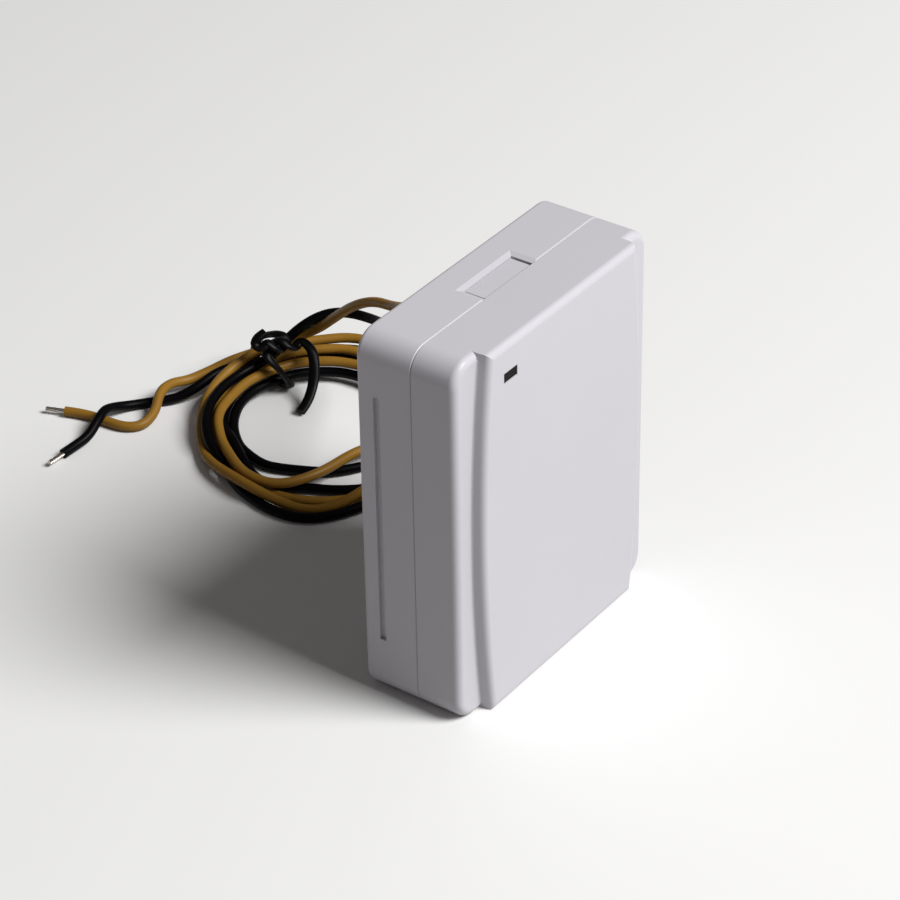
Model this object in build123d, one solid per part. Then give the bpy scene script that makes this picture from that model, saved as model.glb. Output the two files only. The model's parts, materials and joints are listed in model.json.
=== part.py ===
from build123d import *
import math
import os

# Dry contact sensor: a two-part box with a radio board, a battery and a two-wire input lead.
# Millimetres. X runs across the box, Y from the front face (-Y) to the wall side (+Y), Z up.
# The origin is the middle of the box's base, seen from above.

# Box
WIDTH = 52.0
HEIGHT = 66.0
REAR_DEPTH = 10.2
COVER_DEPTH = 8.1
PANEL_RISE = 2.1
CORNER_RADIUS = 4.0
WALL = 1.6
BACK_WALL = 1.8
BACK_EDGE_RADIUS = 0.8
FRONT_EDGE_RADIUS = 1.25
SEAM_GAP = 0.16
SEAM_CHAMFER = 0.15
FIT_GAP = 0.1
SLIDE_GAP = 0.05
SOFT_GAP = 0.3

# Raised front panel with bowed side edges
PANEL_MARGIN = 6.2
PANEL_BOW = 2.0
PANEL_DRAFT = 0.25
PANEL_EDGE_RADIUS = 1.1
PANEL_ROOT_RADIUS = 0.35

# Lip of the rear housing inside the cover's rim
LIP_THICKNESS = 0.75
LIP_HEIGHT = 0.9
LIP_START_Z = 5.0

# Grooves in the rear housing's sides
GROOVE_LENGTH = 45.2
GROOVE_WIDTH = 1.2
GROOVE_DEPTH = 0.6
GROOVE_FROM_BACK = 3.05
GROOVE_BOTTOM_Z = 10.8

# Flexing latch tab in the top wall
LATCH_WIDTH = 12.0
LATCH_LENGTH = 4.1
LATCH_DROP = 0.5
LATCH_TIP_THICKNESS = 2.5
LATCH_SIDE_GAP = 0.4
NOTCH_BEVEL_RUN = 0.9
NOTCH_BEVEL_DROP = 0.32
LATCH_EAR_WIDTH = 1.2
LATCH_EAR_LENGTH = 1.1
LATCH_EAR_HEIGHT = 1.2

# Hinge hooks at the foot of the cover
HINGE_RADIUS = 0.4
HINGE_LENGTH = WIDTH - 2 * CORNER_RADIUS
HOOK_SPACING = 28.0
HOOK_WIDTH = 6.0
HOOK_REACH = 2.4
HOOK_THICKNESS = 1.0
HOOK_ROOT = 5.0
BARB_LENGTH = 0.8
BARB_DROP = 0.8
BARB_ROOM = 0.6

# Circuit board and what holds it
BOARD_THICKNESS = 1.6
BOARD_SIDE_ROOM = 1.0
BOARD_END_ROOM = 4.0
BOARD_BATTERY_GAP = 2.1
BOARD_STANDOFF = 2.6
BOARD_HOLE_INSET_LEFT = 3.1
BOARD_HOLE_INSET_RIGHT = 4.6
BOARD_HOLE_INSET_Z = 4.2
BOARD_BOSS_RADIUS = 2.3
BOARD_SCREW_RADIUS = 0.95
BOARD_SCREW_LENGTH = 3.6
BOARD_SCREW_HEAD_RADIUS = 1.8
BOARD_SCREW_HEAD = 1.3
SCREW_SLOT_WIDTH = 0.5
SCREW_SLOT_DEPTH = 0.5
LOCATING_PIN_RADIUS = 0.9
LOCATING_PIN_STAND = 0.6

# Indicator
WINDOW_FROM_LEFT = 11.45
WINDOW_FROM_TOP = 5.8
WINDOW_WIDTH = 3.5
WINDOW_HEIGHT = 1.8
WINDOW_FLANGE = 0.8
WINDOW_RECESS = 0.15
LIGHT_PIPE_MARGIN = 0.4
LED_WIDTH = 3.2
LED_HEIGHT = 1.6
LED_THICKNESS = 1.1
LED_GAP = 0.3

# Tamper switch
TAMPER_FROM_TOP = 9.8
SWITCH_SIZE = 6.0
TAMPER_BODY = 4.0
TAMPER_RADIUS = 1.2
TAMPER_STAND = 2.4
TAMPER_HOLD = 2.4
TAMPER_BORE = 3.4
POST_RADIUS = 1.8

# Learn button
LEARN_FROM_LEFT = 8.4
LEARN_FROM_BOTTOM = 5.0
LEARN_BODY = 3.5
LEARN_RADIUS = 1.7
LEARN_STAND = 1.5
LEARN_HOLD = 1.2
LEARN_BORE = 1.8

# Terminal block
TERMINAL_LENGTH = 10.2
TERMINAL_DEPTH = 10.0
TERMINAL_HEIGHT = 9.0
TERMINAL_PITCH = 5.0
TERMINAL_DROP = 0.3
ENTRY_SIZE = 2.4
ENTRY_DEPTH = 2.0
ENTRY_RISE = 4.7
WELL_RADIUS = 1.6
WELL_DEPTH = 1.8
WELL_SPARE = 0.3

# Radio module, controller and small parts on the board
PART_GAP = 0.7
MODULE_FROM_LEFT = 12.4
MODULE_WIDTH = 14.0
MODULE_HEIGHT = 18.0
MODULE_THICKNESS = 1.0
SHIELD_WIDTH = 12.0
SHIELD_HEIGHT = 13.0
SHIELD_THICKNESS = 2.0
SHIELD_FILLET = 0.4
CHIP_FROM_LEFT = 6.85
CHIP_BODY_WIDTH = 5.3
CHIP_BODY_HEIGHT = 12.8
CHIP_THICKNESS = 2.2
CHIP_STANDOFF = 0.2
CHIP_LEGS = 10
CHIP_LEG_PITCH = 1.27
CHIP_LEG_WIDTH = 0.4
CHIP_LEG_REACH = 1.1
CHIP_LEG_THICKNESS = 0.25
CRYSTAL_LENGTH = 10.4
CRYSTAL_WIDTH = 4.4
CRYSTAL_THICKNESS = 3.4
CAPACITOR_FROM_RIGHT = 4.0
CAPACITOR_DROP = 1.3
CAPACITOR_RADIUS = 3.15
CAPACITOR_HEIGHT = 5.4
CAPACITOR_BASE = 0.8
HEADER_PINS = 3
HEADER_PITCH = 2.54
HEADER_BODY = 2.5
HEADER_PIN = 0.64
HEADER_PIN_STAND = 5.5
ANTENNA_RADIUS = 0.4
ANTENNA_FROM_LEFT = 1.8
ANTENNA_FOOT = 16.0
ANTENNA_LENGTH = 31.0
ANTENNA_STAND = 3.0
ANTENNA_BEND = 1.6

# Battery and its bay
BATTERY_RADIUS = 7.8
BATTERY_LENGTH = 26.2
BATTERY_NUB_RADIUS = 3.0
BATTERY_NUB = 0.8
BATTERY_EDGE = 0.6
BATTERY_SIDE_ROOM = 3.1
BATTERY_GAP = 0.4
SADDLE_THICKNESS = 1.6
SADDLE_HEIGHT = 6.0
SADDLE_MARGIN = 0.6
SADDLE_OFFSET = 8.0
BAY_WALL = 1.6
BAY_WIDTH = 15.0
BAY_DEPTH = 10.6
CONTACT_THICKNESS = 0.4
CONTACT_WIDTH = 8.0
CONTACT_TAB = 2.0
LEAF_WIDTH = 5.0
LEAF_RISE = 3.0
RIB_THICKNESS = 1.2
RIB_LENGTH = 10.0

# Wall screws
WALL_HOLE_RADIUS = 1.8
WALL_HOLE_ROOM = 0.4
WALL_BOSS_RADIUS = 3.2
WALL_BOSS_HEIGHT = 1.6

# Lead exit
EXIT_FROM_RIGHT = 13.5
EXIT_Z = 49.0
EXIT_ROOM = 0.9
GROMMET_BORE = 2.2
GROMMET_NECK = 2.8
GROMMET_FLANGE = 3.6
GROMMET_FLANGE_THICKNESS = 0.8

# Wires
WIRE_RADIUS = 0.9
WIRE_PITCH = 2.2
STRAND_RADIUS = 0.45
STRIPPED_LENGTH = 3.6
FLOOR_GAP = 0.05

# Coil behind the box: three turns of each wire, fanned out on the side away from the tie
COIL_CENTRE = (30.5, 61.5)
COIL_START_ANGLE = 74.0
COIL_RADIUS = 15.5
COIL_TURNS = 3
COIL_STRAND_PITCH = 2.6
COIL_FAN = (4.1, 4.0)
LAYER_PITCH = 2.15
RUN_IN = 3.0

# Tie round the coil
TIE_RADIUS = 0.7
TIE_CORNER = 2.0
CORNER_TURN = 70.0
TIE_SETBACK = 2.5

# Places that follow from the sizes above
SEAM = (COVER_DEPTH + PANEL_RISE - REAR_DEPTH) / 2
BACK = SEAM + REAR_DEPTH
FLOOR = BACK - BACK_WALL
STRIP = SEAM - COVER_DEPTH
FRONT = STRIP - PANEL_RISE
HOUSING_RIM = SEAM + SEAM_GAP / 2
COVER_RIM = SEAM - SEAM_GAP / 2
STRIP_INSIDE = STRIP + WALL
PANEL_INSIDE = FRONT + WALL
TOP_INSIDE = HEIGHT - WALL
HINGE_Y = COVER_RIM - HINGE_RADIUS
HINGE_Z = HINGE_RADIUS
POCKET_BACK = BACK - GROMMET_FLANGE_THICKNESS - FIT_GAP
LATCH_TIP_Y = COVER_RIM + LATCH_LENGTH

# Battery and exit, from the right wall and down from the exit
EXIT_X = WIDTH / 2 - EXIT_FROM_RIGHT
BATTERY_X = WIDTH / 2 - WALL - BATTERY_SIDE_ROOM - BATTERY_RADIUS
BATTERY_Y = FLOOR - BATTERY_GAP - BATTERY_RADIUS
BAY_HIGH = EXIT_Z - GROMMET_FLANGE - EXIT_ROOM - BAY_WALL
BATTERY_TOP = BAY_HIGH - CONTACT_THICKNESS - BATTERY_NUB
BATTERY_BOTTOM = BATTERY_TOP - BATTERY_LENGTH
BAY_LOW = BATTERY_BOTTOM - LEAF_RISE - CONTACT_THICKNESS
WALL_HOLE_LOW = BAY_LOW - BAY_WALL - WALL_BOSS_RADIUS
WALL_HOLE_HIGH = EXIT_Z + GROMMET_FLANGE + WALL_HOLE_ROOM + WALL_BOSS_RADIUS

# Board between the left wall and the battery, and the parts that stand on it
BOARD_BACK = FLOOR - BOARD_STANDOFF
BOARD_FRONT = BOARD_BACK - BOARD_THICKNESS
BOARD_LEFT = -WIDTH / 2 + WALL + BOARD_SIDE_ROOM
BOARD_RIGHT = BATTERY_X - BATTERY_RADIUS - BOARD_BATTERY_GAP
BOARD_BOTTOM = BOARD_END_ROOM
BOARD_TOP = HEIGHT - BOARD_END_ROOM
WINDOW_X = -WIDTH / 2 + WINDOW_FROM_LEFT
WINDOW_Z = HEIGHT - WINDOW_FROM_TOP
TERMINAL_Z = EXIT_Z - TERMINAL_DROP
TAMPER_X = BOARD_RIGHT - TERMINAL_DEPTH - SOFT_GAP - SWITCH_SIZE / 2
TAMPER_Z = HEIGHT - TAMPER_FROM_TOP
CAPACITOR_X = BOARD_RIGHT - CAPACITOR_FROM_RIGHT
CAPACITOR_Z = TERMINAL_Z - TERMINAL_LENGTH / 2 - CAPACITOR_DROP - CAPACITOR_RADIUS
HEADER_X = BOARD_RIGHT - CONTACT_TAB - SOFT_GAP - HEADER_PINS * HEADER_PITCH / 2
HEADER_Z = BOARD_BOTTOM + BOARD_HOLE_INSET_Z + BOARD_SCREW_HEAD_RADIUS + FIT_GAP + HEADER_BODY / 2
LEARN_X = BOARD_LEFT + LEARN_FROM_LEFT
LEARN_Z = BOARD_BOTTOM + LEARN_FROM_BOTTOM
MODULE_X = BOARD_LEFT + MODULE_FROM_LEFT
CRYSTAL_X = MODULE_X
CRYSTAL_Z = LEARN_Z + SWITCH_SIZE / 2 + PART_GAP + CRYSTAL_WIDTH / 2
MODULE_Z = CRYSTAL_Z + CRYSTAL_WIDTH / 2 + PART_GAP + MODULE_HEIGHT / 2
CHIP_X = BOARD_LEFT + CHIP_FROM_LEFT
CHIP_Z = MODULE_Z + MODULE_HEIGHT / 2 + PART_GAP + CHIP_BODY_HEIGHT / 2
ANTENNA_X = BOARD_LEFT + ANTENNA_FROM_LEFT
ANTENNA_FOOT_Z = BOARD_BOTTOM + ANTENNA_FOOT


def block(x0, x1, y0, y1, z0, z1):
    """A box between two opposite corners."""
    middle = Pos((x0 + x1) / 2, (y0 + y1) / 2, (z0 + z1) / 2)
    return middle * Box(abs(x1 - x0), abs(y1 - y0), abs(z1 - z0))


def rod(x, z, radius, y0, y1):
    """A cylinder along Y."""
    return Pos(x, (y0 + y1) / 2, z) * Rot(90, 0, 0) * Cylinder(radius, abs(y1 - y0))


def rod_up(x, y, radius, z0, z1):
    """A cylinder along Z."""
    return Pos(x, y, (z0 + z1) / 2) * Cylinder(radius, abs(z1 - z0))


def on_wall(outline, y):
    """A flat outline, drawn in X and Z, placed at a depth."""
    return Pos(0, y, 0) * Rot(90, 0, 0) * outline


def prism(outline, y_back, y_front):
    """An outline drawn in X and Z, pulled forward from one depth to another."""
    return Pos(0, y_back, 0) * Rot(90, 0, 0) * extrude(outline, y_back - y_front)


def box_outline(inset):
    """The box's front outline, drawn in by an inset."""
    radius = CORNER_RADIUS - inset
    return Pos(0, HEIGHT / 2) * RectangleRounded(WIDTH - 2 * inset, HEIGHT - 2 * inset, radius)


def panel_outline(spread, inset=0.0):
    """The raised panel's outline: straight ends and bowed sides."""
    half = WIDTH / 2 - PANEL_MARGIN + spread
    low, high = inset, HEIGHT - inset
    edges = Line((-half, low), (half, low))
    edges += ThreePointArc((half, low), (half + PANEL_BOW, HEIGHT / 2), (half, high))
    edges += Line((half, high), (-half, high))
    edges += ThreePointArc((-half, high), (-half - PANEL_BOW, HEIGHT / 2), (-half, low))
    return make_face(edges)


def board_holes():
    """Centres of the board's fixing holes: the first two take screws, the last a locating pin."""
    left, right = BOARD_LEFT + BOARD_HOLE_INSET_LEFT, BOARD_RIGHT - BOARD_HOLE_INSET_RIGHT
    low, high = BOARD_BOTTOM + BOARD_HOLE_INSET_Z, BOARD_TOP - BOARD_HOLE_INSET_Z
    return [(left, high), (right, low), (left, low)]


def wall_holes():
    """Centres of the two wall screw holes, below the battery and above the exit."""
    return [(BATTERY_X, WALL_HOLE_LOW), (BATTERY_X, WALL_HOLE_HIGH)]


def hook_centres():
    """Where the cover's two hooks stand across the box."""
    return [-HOOK_SPACING / 2, HOOK_SPACING / 2]


def terminal_poles():
    """Heights of the terminal block's two poles, upper first."""
    return [TERMINAL_Z + TERMINAL_PITCH / 2, TERMINAL_Z - TERMINAL_PITCH / 2]


def rim_ring(outer_inset, inner_inset, y_back, y_front, clear):
    """A ring that follows the box's rim along its sides and top, open at the latch and the foot."""
    ring = prism(box_outline(outer_inset), y_back, y_front)
    ring -= prism(box_outline(inner_inset), y_back + 1, y_front - 1)
    ring -= block(-WIDTH, WIDTH, y_back + 1, y_front - 1, -1, LIP_START_Z - clear)
    half = LATCH_WIDTH / 2 + LATCH_EAR_WIDTH + LATCH_SIDE_GAP - clear
    ring -= block(-half, half, y_back + 1, y_front - 1, HEIGHT / 2, HEIGHT + 1)
    return ring


def rear_housing():
    shell = prism(box_outline(0), BACK, HOUSING_RIM)
    shell = fillet(shell.faces().sort_by(Axis.Y)[-1].edges(), BACK_EDGE_RADIUS)
    shell = chamfer(shell.faces().sort_by(Axis.Y)[0].edges(), SEAM_CHAMFER)
    shell -= prism(box_outline(WALL), FLOOR, HOUSING_RIM - 1)
    shell += rim_ring(WALL - LIP_THICKNESS, WALL, HOUSING_RIM + 1, HOUSING_RIM - LIP_HEIGHT, 0)
    shell -= latch_notch()
    groove_y = BACK - GROOVE_FROM_BACK
    for side in (-1, 1):
        outer, inner = side * (WIDTH / 2 + 1), side * (WIDTH / 2 - GROOVE_DEPTH)
        shell -= block(outer, inner, groove_y, groove_y - GROOVE_WIDTH,
                       GROOVE_BOTTOM_Z, GROOVE_BOTTOM_Z + GROOVE_LENGTH)
    for x in hook_centres():
        half = HOOK_WIDTH / 2 + 4 * FIT_GAP
        barb_tip = COVER_RIM + HOOK_REACH
        shell -= block(x - half, x + half, barb_tip - BARB_LENGTH - BARB_ROOM, barb_tip + 3 * FIT_GAP,
                       WALL - BARB_DROP, WALL + 1)
    shell += board_bosses() + wall_bosses() + battery_bay()
    for x, z in wall_holes():
        shell -= rod(x, z, WALL_HOLE_RADIUS, BACK + 1, FLOOR - WALL_BOSS_HEIGHT - 1)
    shell -= rod(EXIT_X, EXIT_Z, GROMMET_NECK + SLIDE_GAP, BACK + 1, FLOOR - 1)
    shell -= rod(EXIT_X, EXIT_Z, GROMMET_FLANGE + SLIDE_GAP, BACK + 1, POCKET_BACK)
    return shell


def latch_notch():
    """What the top wall leaves open for the latch, with its three upper edges bevelled down to the tab."""
    half = LATCH_WIDTH / 2 + LATCH_SIDE_GAP
    start, end = HOUSING_RIM - 2, LATCH_TIP_Y + 2 * FIT_GAP
    grow = 2 * NOTCH_BEVEL_RUN
    low = Pos(0, (start + end) / 2, HEIGHT - NOTCH_BEVEL_DROP) * Rectangle(2 * half, end - start)
    high = Pos(0, (start + end + grow) / 2, HEIGHT + NOTCH_BEVEL_DROP) * Rectangle(
        2 * (half + grow), end + grow - start)
    return block(-half, half, start, end, TOP_INSIDE - 1, HEIGHT + 1) + loft([low, high], ruled=True)


def board_bosses():
    bosses = Part()
    for k, (x, z) in enumerate(board_holes()):
        boss = rod(x, z, BOARD_BOSS_RADIUS, FLOOR + 0.5, BOARD_BACK)
        if k < 2:
            tip = BOARD_BACK + BOARD_SCREW_LENGTH - BOARD_THICKNESS
            boss -= rod(x, z, BOARD_SCREW_RADIUS + SLIDE_GAP, tip + FIT_GAP, BOARD_BACK - 1)
        else:
            boss += rod(x, z, LOCATING_PIN_RADIUS, FLOOR, BOARD_FRONT - LOCATING_PIN_STAND)
        bosses += boss
    return bosses


def wall_bosses():
    bosses = Part()
    for x, z in wall_holes():
        bosses += rod(x, z, WALL_BOSS_RADIUS, FLOOR + 0.5, FLOOR - WALL_BOSS_HEIGHT)
    return bosses


def battery_bay():
    half = BATTERY_RADIUS + SADDLE_MARGIN
    bay = Part()
    for z in (BATTERY_BOTTOM + SADDLE_OFFSET, BATTERY_TOP - SADDLE_OFFSET):
        bay += block(BATTERY_X - half, BATTERY_X + half, FLOOR + 0.5, FLOOR - SADDLE_HEIGHT,
                     z - SADDLE_THICKNESS / 2, z + SADDLE_THICKNESS / 2)
    bay -= rod_up(BATTERY_X, BATTERY_Y, BATTERY_RADIUS + FIT_GAP, BATTERY_BOTTOM, BATTERY_TOP)
    half = BAY_WIDTH / 2
    for inner, way in ((BAY_LOW, -1), (BAY_HIGH, 1)):
        bay += block(BATTERY_X - half, BATTERY_X + half, FLOOR + 0.5, FLOOR - BAY_DEPTH,
                     inner, inner + way * BAY_WALL)
    return bay


def front_cover():
    shell = prism(box_outline(0), COVER_RIM, STRIP)
    shell = fillet(shell.faces().sort_by(Axis.Y)[0].edges(), FRONT_EDGE_RADIUS)
    shell += raised_panel()
    roots = [e for e in shell.edges()
             if e.geom_type != GeomType.LINE and abs(e.center().Y - STRIP) < PANEL_DRAFT
             and e.length > HEIGHT / 2]
    shell = fillet(roots, PANEL_ROOT_RADIUS)
    shell -= prism(box_outline(WALL), COVER_RIM + 1, STRIP_INSIDE)
    shell -= prism(panel_outline(PANEL_DRAFT - WALL, WALL), STRIP_INSIDE + 1, PANEL_INSIDE)
    rabbet = WALL - LIP_THICKNESS - FIT_GAP
    depth = HOUSING_RIM - LIP_HEIGHT - 2 * FIT_GAP
    shell -= rim_ring(rabbet, WALL + 1, COVER_RIM + 1, depth, 4 * FIT_GAP)
    shell -= block(WINDOW_X - WINDOW_WIDTH / 2, WINDOW_X + WINDOW_WIDTH / 2, FRONT - 1, PANEL_INSIDE + 1,
                   WINDOW_Z - WINDOW_HEIGHT / 2, WINDOW_Z + WINDOW_HEIGHT / 2)
    shell += cover_hooks() + cover_posts()
    return shell - hinge_relief()


def raised_panel():
    """The panel stands through the cover's face and narrows a little towards its front."""
    inside = STRIP + FRONT_EDGE_RADIUS
    wide = panel_outline(PANEL_DRAFT)
    foot = loft([on_wall(wide, inside), on_wall(wide, STRIP)], ruled=True)
    top = loft([on_wall(wide, STRIP), on_wall(panel_outline(0), FRONT)], ruled=True)
    panel = foot + top
    return fillet(panel.faces().sort_by(Axis.Y)[0].edges(), PANEL_EDGE_RADIUS)


def hinge_relief():
    """What is taken off the cover's lower rear edge so that only a round bead is left to turn on."""
    half = HINGE_LENGTH / 2
    corner = block(-half, half, HINGE_Y, COVER_RIM + 1, -1, HINGE_Z)
    bead = Pos(0, HINGE_Y, HINGE_Z) * Rot(0, 90, 0) * Cylinder(HINGE_RADIUS, HINGE_LENGTH)
    return corner - bead


def cover_hooks():
    hooks = Part()
    under = WALL + 1.5 * FIT_GAP
    top = under + HOOK_THICKNESS
    tip = COVER_RIM + HOOK_REACH
    for x in hook_centres():
        left, right = x - HOOK_WIDTH / 2, x + HOOK_WIDTH / 2
        hooks += block(left, right, COVER_RIM - HOOK_ROOT, tip, under, top)
        hooks += block(left, right, COVER_RIM - HOOK_ROOT, COVER_RIM - 2 * FIT_GAP, WALL / 2, top)
        hooks += block(left, right, tip - BARB_LENGTH, tip, under - BARB_DROP, top)
    return hooks


def cover_posts():
    """The tamper post and the rib that steadies the battery."""
    tip = BOARD_FRONT - TAMPER_BODY - TAMPER_STAND - FIT_GAP
    posts = rod(TAMPER_X, TAMPER_Z, POST_RADIUS, tip, PANEL_INSIDE - 0.5)
    middle = (BATTERY_BOTTOM + BATTERY_TOP) / 2
    rib_tip = BATTERY_Y - BATTERY_RADIUS - 1.5 * FIT_GAP
    posts += block(BATTERY_X - RIB_LENGTH / 2, BATTERY_X + RIB_LENGTH / 2, PANEL_INSIDE - 0.5, rib_tip,
                   middle - RIB_THICKNESS / 2, middle + RIB_THICKNESS / 2)
    return posts


def latch_tab():
    """A tongue that carries on from the cover's top wall a little lower, with a deep tip and a catch ear
    each side."""
    half = LATCH_WIDTH / 2
    tip_top = HEIGHT - LATCH_DROP
    tip_low = tip_top - LATCH_TIP_THICKNESS
    profile = Polyline(
        (COVER_RIM, tip_top), (LATCH_TIP_Y, tip_top), (LATCH_TIP_Y, tip_low),
        (COVER_RIM + LATCH_LENGTH / 2, tip_low), (COVER_RIM, TOP_INSIDE), (COVER_RIM, tip_top))
    side = Plane(origin=(-half, 0, 0), x_dir=(0, 1, 0), z_dir=(1, 0, 0))
    tab = extrude(side * make_face(profile), LATCH_WIDTH)
    reach = half + LATCH_EAR_WIDTH
    ear_back = LATCH_TIP_Y - 2 * FIT_GAP
    return tab + block(-reach, reach, ear_back - LATCH_EAR_LENGTH, ear_back, tip_low, tip_low + LATCH_EAR_HEIGHT)


def led_window():
    inset = WINDOW_RECESS
    window = block(WINDOW_X - WINDOW_WIDTH / 2 + SLIDE_GAP, WINDOW_X + WINDOW_WIDTH / 2 - SLIDE_GAP,
                   FRONT + inset, PANEL_INSIDE,
                   WINDOW_Z - WINDOW_HEIGHT / 2 + SLIDE_GAP, WINDOW_Z + WINDOW_HEIGHT / 2 - SLIDE_GAP)
    window += block(WINDOW_X - WINDOW_WIDTH / 2 - WINDOW_FLANGE, WINDOW_X + WINDOW_WIDTH / 2 + WINDOW_FLANGE,
                    PANEL_INSIDE, PANEL_INSIDE + WINDOW_FLANGE,
                    WINDOW_Z - WINDOW_HEIGHT / 2 - WINDOW_FLANGE, WINDOW_Z + WINDOW_HEIGHT / 2 + WINDOW_FLANGE)
    return window


def light_pipe():
    half_x, half_z = WINDOW_WIDTH / 2 - LIGHT_PIPE_MARGIN, WINDOW_HEIGHT / 2 - LIGHT_PIPE_MARGIN / 2
    return block(WINDOW_X - half_x, WINDOW_X + half_x, PANEL_INSIDE + WINDOW_FLANGE,
                 BOARD_FRONT - LED_THICKNESS - LED_GAP, WINDOW_Z - half_z, WINDOW_Z + half_z)


def indicator_led():
    body = block(WINDOW_X - LED_WIDTH / 2, WINDOW_X + LED_WIDTH / 2, BOARD_FRONT, BOARD_FRONT - LED_THICKNESS,
                 WINDOW_Z - LED_HEIGHT / 2, WINDOW_Z + LED_HEIGHT / 2)
    return fillet(body.faces().sort_by(Axis.Y)[0].edges(), LED_THICKNESS / 4)


def circuit_board():
    board = block(BOARD_LEFT, BOARD_RIGHT, BOARD_FRONT, BOARD_BACK, BOARD_BOTTOM, BOARD_TOP)
    for x, z in board_holes():
        board -= rod(x, z, BOARD_SCREW_RADIUS + FIT_GAP, BOARD_FRONT - 1, BOARD_BACK + 1)
    return board


def slotted_head(x, z, radius, y_under, height):
    """A low round screw head with a straight slot, standing forward of y_under."""
    head = rod(x, z, radius, y_under, y_under - height)
    slot = block(x - radius, x + radius, y_under - height - 1, y_under - height + SCREW_SLOT_DEPTH,
                 z - SCREW_SLOT_WIDTH / 2, z + SCREW_SLOT_WIDTH / 2)
    return head - slot


def board_screws():
    screws = Part()
    for x, z in board_holes()[:2]:
        screws += slotted_head(x, z, BOARD_SCREW_HEAD_RADIUS, BOARD_FRONT, BOARD_SCREW_HEAD)
        screws += rod(x, z, BOARD_SCREW_RADIUS, BOARD_FRONT, BOARD_FRONT + BOARD_SCREW_LENGTH)
    return screws


def switch_body(x, z, depth, bore_radius, bore_depth):
    """A square switch case on the board with a bore for its plunger."""
    half = SWITCH_SIZE / 2
    body = block(x - half, x + half, BOARD_FRONT, BOARD_FRONT - depth, z - half, z + half)
    top = BOARD_FRONT - depth
    return body - rod(x, z, bore_radius + SLIDE_GAP, top - 1, top + bore_depth)


def tamper_switch():
    return switch_body(TAMPER_X, TAMPER_Z, TAMPER_BODY, TAMPER_RADIUS, TAMPER_BORE)


def tamper_plunger():
    top = BOARD_FRONT - TAMPER_BODY
    pin = rod(TAMPER_X, TAMPER_Z, TAMPER_RADIUS, top + TAMPER_HOLD, top - TAMPER_STAND)
    return fillet(pin.faces().sort_by(Axis.Y)[0].edges(), TAMPER_RADIUS / 3)


def learn_switch():
    return switch_body(LEARN_X, LEARN_Z, LEARN_BODY, LEARN_RADIUS, LEARN_BORE)


def learn_button():
    top = BOARD_FRONT - LEARN_BODY
    cap = rod(LEARN_X, LEARN_Z, LEARN_RADIUS, top + LEARN_HOLD, top - LEARN_STAND)
    return fillet(cap.faces().sort_by(Axis.Y)[0].edges(), LEARN_RADIUS / 6)


def terminal_block():
    front = BOARD_FRONT - TERMINAL_HEIGHT
    body = block(BOARD_RIGHT - TERMINAL_DEPTH, BOARD_RIGHT, BOARD_FRONT, front,
                 TERMINAL_Z - TERMINAL_LENGTH / 2, TERMINAL_Z + TERMINAL_LENGTH / 2)
    for z in terminal_poles():
        entry = BOARD_FRONT - ENTRY_RISE
        body -= block(BOARD_RIGHT - ENTRY_DEPTH, BOARD_RIGHT + 1, entry - ENTRY_SIZE / 2, entry + ENTRY_SIZE / 2,
                      z - ENTRY_SIZE / 2, z + ENTRY_SIZE / 2)
        body -= rod(BOARD_RIGHT - TERMINAL_DEPTH / 2, z, WELL_RADIUS, front - 1, front + WELL_DEPTH)
    return body


def terminal_screws():
    front = BOARD_FRONT - TERMINAL_HEIGHT
    screws = Part()
    for z in terminal_poles():
        screws += slotted_head(BOARD_RIGHT - TERMINAL_DEPTH / 2, z, WELL_RADIUS - FIT_GAP,
                               front + WELL_DEPTH, WELL_DEPTH - WELL_SPARE)
    return screws


def radio_module():
    return block(MODULE_X - MODULE_WIDTH / 2, MODULE_X + MODULE_WIDTH / 2,
                 BOARD_FRONT, BOARD_FRONT - MODULE_THICKNESS,
                 MODULE_Z - MODULE_HEIGHT / 2, MODULE_Z + MODULE_HEIGHT / 2)


def radio_shield():
    under = BOARD_FRONT - MODULE_THICKNESS
    can = block(MODULE_X - SHIELD_WIDTH / 2, MODULE_X + SHIELD_WIDTH / 2, under, under - SHIELD_THICKNESS,
                MODULE_Z - SHIELD_HEIGHT / 2, MODULE_Z + SHIELD_HEIGHT / 2)
    return fillet(can.faces().sort_by(Axis.Y)[0].edges(), SHIELD_FILLET)


def controller_chip():
    under = BOARD_FRONT - CHIP_STANDOFF
    chip = block(CHIP_X - CHIP_BODY_WIDTH / 2, CHIP_X + CHIP_BODY_WIDTH / 2, under, under - CHIP_THICKNESS,
                 CHIP_Z - CHIP_BODY_HEIGHT / 2, CHIP_Z + CHIP_BODY_HEIGHT / 2)
    middle = under - CHIP_THICKNESS / 2
    for k in range(CHIP_LEGS):
        z = CHIP_Z + (k - (CHIP_LEGS - 1) / 2) * CHIP_LEG_PITCH
        low, high = z - CHIP_LEG_WIDTH / 2, z + CHIP_LEG_WIDTH / 2
        for side in (-1, 1):
            edge = CHIP_X + side * CHIP_BODY_WIDTH / 2
            out = edge + side * CHIP_LEG_REACH
            knee = edge + side * CHIP_LEG_REACH / 2
            inner = knee - side * CHIP_LEG_THICKNESS
            chip += block(edge - side, knee, middle, middle + CHIP_LEG_THICKNESS, low, high)
            chip += block(inner, knee, middle, BOARD_FRONT, low, high)
            chip += block(inner, out, BOARD_FRONT - CHIP_LEG_THICKNESS, BOARD_FRONT, low, high)
    return chip


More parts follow.
